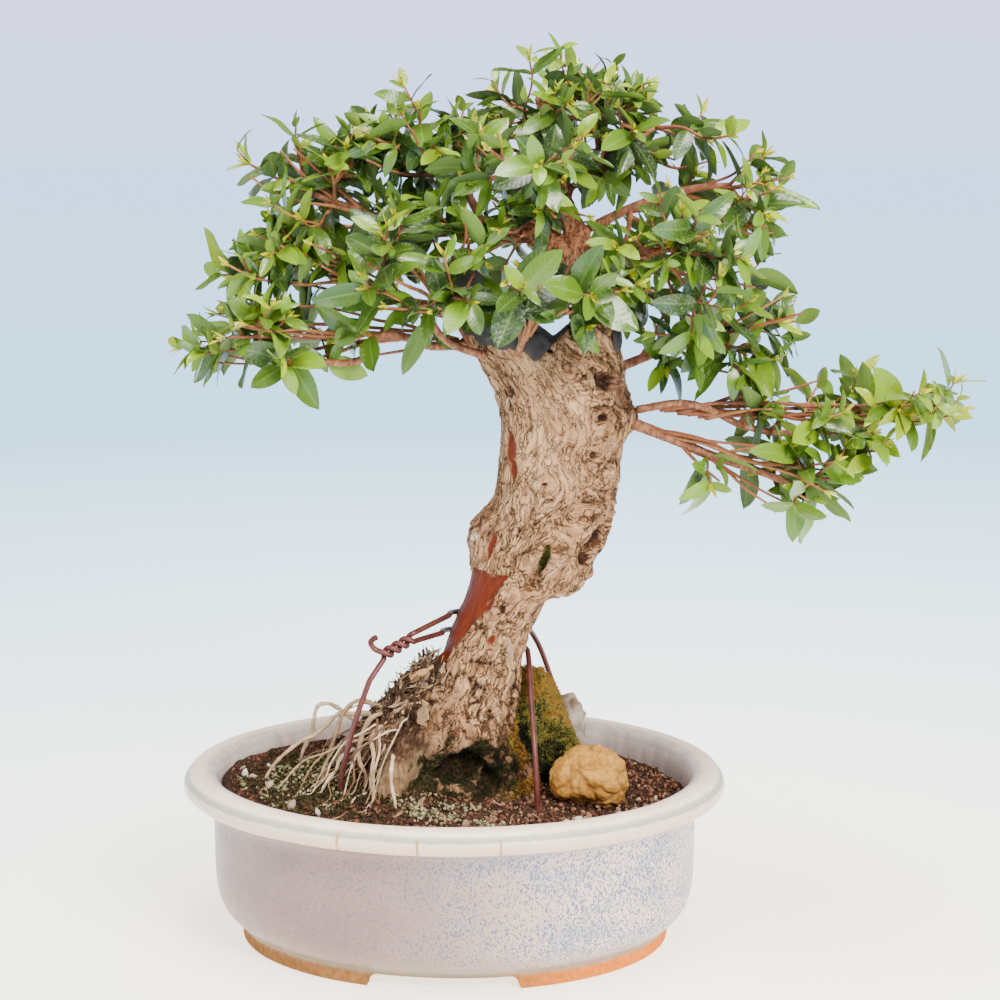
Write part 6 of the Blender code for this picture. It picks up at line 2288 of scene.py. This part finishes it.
# A round floor: warm white at the middle, and just the sky's horizon colour at its edge.
def makeFloor():
    rings, sides = 20, 96
    level = -0.0002  # just under the pot's feet
    points, share = [(0, 0, level)], [0]
    for ring in range(1, rings + 1):
        radius = stageCare["floorRadius"] * ring / rings
        for k in range(sides):
            turn = 2 * math.pi * k / sides
            points.append((radius * math.cos(turn), radius * math.sin(turn), level))
            share.append(ring / rings)
    faces = [(0, 1 + k, 1 + (k + 1) % sides) for k in range(sides)]
    for ring in range(rings - 1):
        for k in range(sides):
            a, b = 1 + ring * sides + k, 1 + ring * sides + (k + 1) % sides
            faces.append((a, a + sides, b + sides, b))
    mesh = bpy.data.meshes.new("pale_floor")
    mesh.from_pydata(points, [], faces)
    mesh.attributes.new("out", "FLOAT", "POINT").data.foreach_set("value", share)
    f = Finish("pale_floor", 0.8, 0)
    out = f.mark("out")
    f.colour(f.ramp(out, (0.1, 0.84, 0.82, 0.79), (0.45, 0.55, 0.6, 0.62), (0.95, 0, 0, 0)))
    near, far = stageCare["glow"] / 4, stageCare["horizonGlow"] / 4
    glow = f.ramp(out, (0.08, *lit(stageCare["warm"], near)),
                  (0.24, *lit((0.74, 0.9, 0.88), (near + far) / 2)),
                  (0.5, *lit((0.5, 0.8, 0.98), far)), (0.95, *lit(stageCare["horizon"], far)))
    f.link(glow, "Emission Color")
    f.shader.inputs["Emission Strength"].default_value = 4
    mesh.materials.append(f.material)
    floor = bpy.data.objects.new("pale_floor", mesh)
    bpy.context.scene.collection.objects.link(floor)


# A sky that is bright blue to lavender behind the tree and a softer warm white above it.
def makeSky():
    world = bpy.data.worlds.new("studio_sky")
    bpy.context.scene.world = world
    world.use_nodes = True
    tree = world.node_tree
    split = tree.nodes.new("ShaderNodeSeparateXYZ")
    tree.links.new(tree.nodes.new("ShaderNodeTexCoord").outputs["Generated"], split.inputs[0])
    shift = tree.nodes.new("ShaderNodeMath")
    shift.operation = "MULTIPLY_ADD"
    tree.links.new(split.outputs["Z"], shift.inputs[0])
    shift.inputs[1].default_value = shift.inputs[2].default_value = 0.5
    ramp = tree.nodes.new("ShaderNodeValToRGB")
    glow = stageCare["horizonGlow"] / 4
    stops = ((0.44, *lit(stageCare["horizon"], glow)), (0.475, *lit((0.46, 0.66, 1), glow)),
             (0.512, *lit((0.6, 0.64, 1), glow)), (0.6, 0.14, 0.135, 0.13))
    for _ in stops[2:]:
        ramp.color_ramp.elements.new(0.5)
    for element, (place, *colour) in zip(ramp.color_ramp.elements, stops):
        element.position = place
        element.color = (*colour, 1)
    tree.links.new(shift.outputs[0], ramp.inputs["Fac"])
    sky = tree.nodes["Background"]
    tree.links.new(ramp.outputs["Color"], sky.inputs["Color"])
    sky.inputs["Strength"].default_value = 4


def makeLight(name, place, size, power, colour):
    light = bpy.data.lights.new(name, "AREA")
    light.shape = "DISK"
    light.size, light.energy, light.color = size, power, colour
    thing = bpy.data.objects.new(name, light)
    thing.location = layoutMiddle + Vector(place)
    aim = layoutMiddle + Vector((0.02, 0, 0.22)) - thing.location
    thing.rotation_euler = aim.to_track_quat("-Z", "Y").to_euler()
    bpy.context.scene.collection.objects.link(thing)


def makeStage():
    makeFloor()
    makeSky()
    makeLight("overhead", (0.1, -0.25, 1.5), 0.8, stageCare["overhead"], (1, 0.97, 0.93))
    makeLight("front_right", (0.75, -1.25, 1.05), 0.6, stageCare["frontRight"], (1, 0.955, 0.9))
    makeLight("left", (-1.1, -0.8, 0.8), 0.8, stageCare["left"], (1, 0.98, 0.97))
    view = bpy.data.cameras.new("photo_view")
    view.lens, view.sensor_width, view.clip_start = stageCare["lens"], 36, 0.05
    camera = bpy.data.objects.new("photo_view", view)
    camera.location = layoutMiddle + Vector(stageCare["cameraFrom"])
    camera.rotation_euler = Vector(stageCare["cameraWay"]).to_track_quat("-Z", "Y").to_euler()
    bpy.context.scene.collection.objects.link(camera)
    bpy.context.scene.camera = camera


makeBoughs()
bark = makeTrunk()
makePaste()
makeRoots()
makeScraps()
makeWire("wire_with_two_legs", "wire_front", frontWirePoints())
makeWire("wire_with_cut_end", "wire_back", backWirePoints())
rock = makeStones()
makeMoss(rock, bark)
makeSoil()
makeGrains("soil_grains", "grain", 1)
makeGrains("soil_crumbs", "crumb", 0)
makeLichen()
makeLitter()
makePot()
finishDrainMeshes()
makeStage()
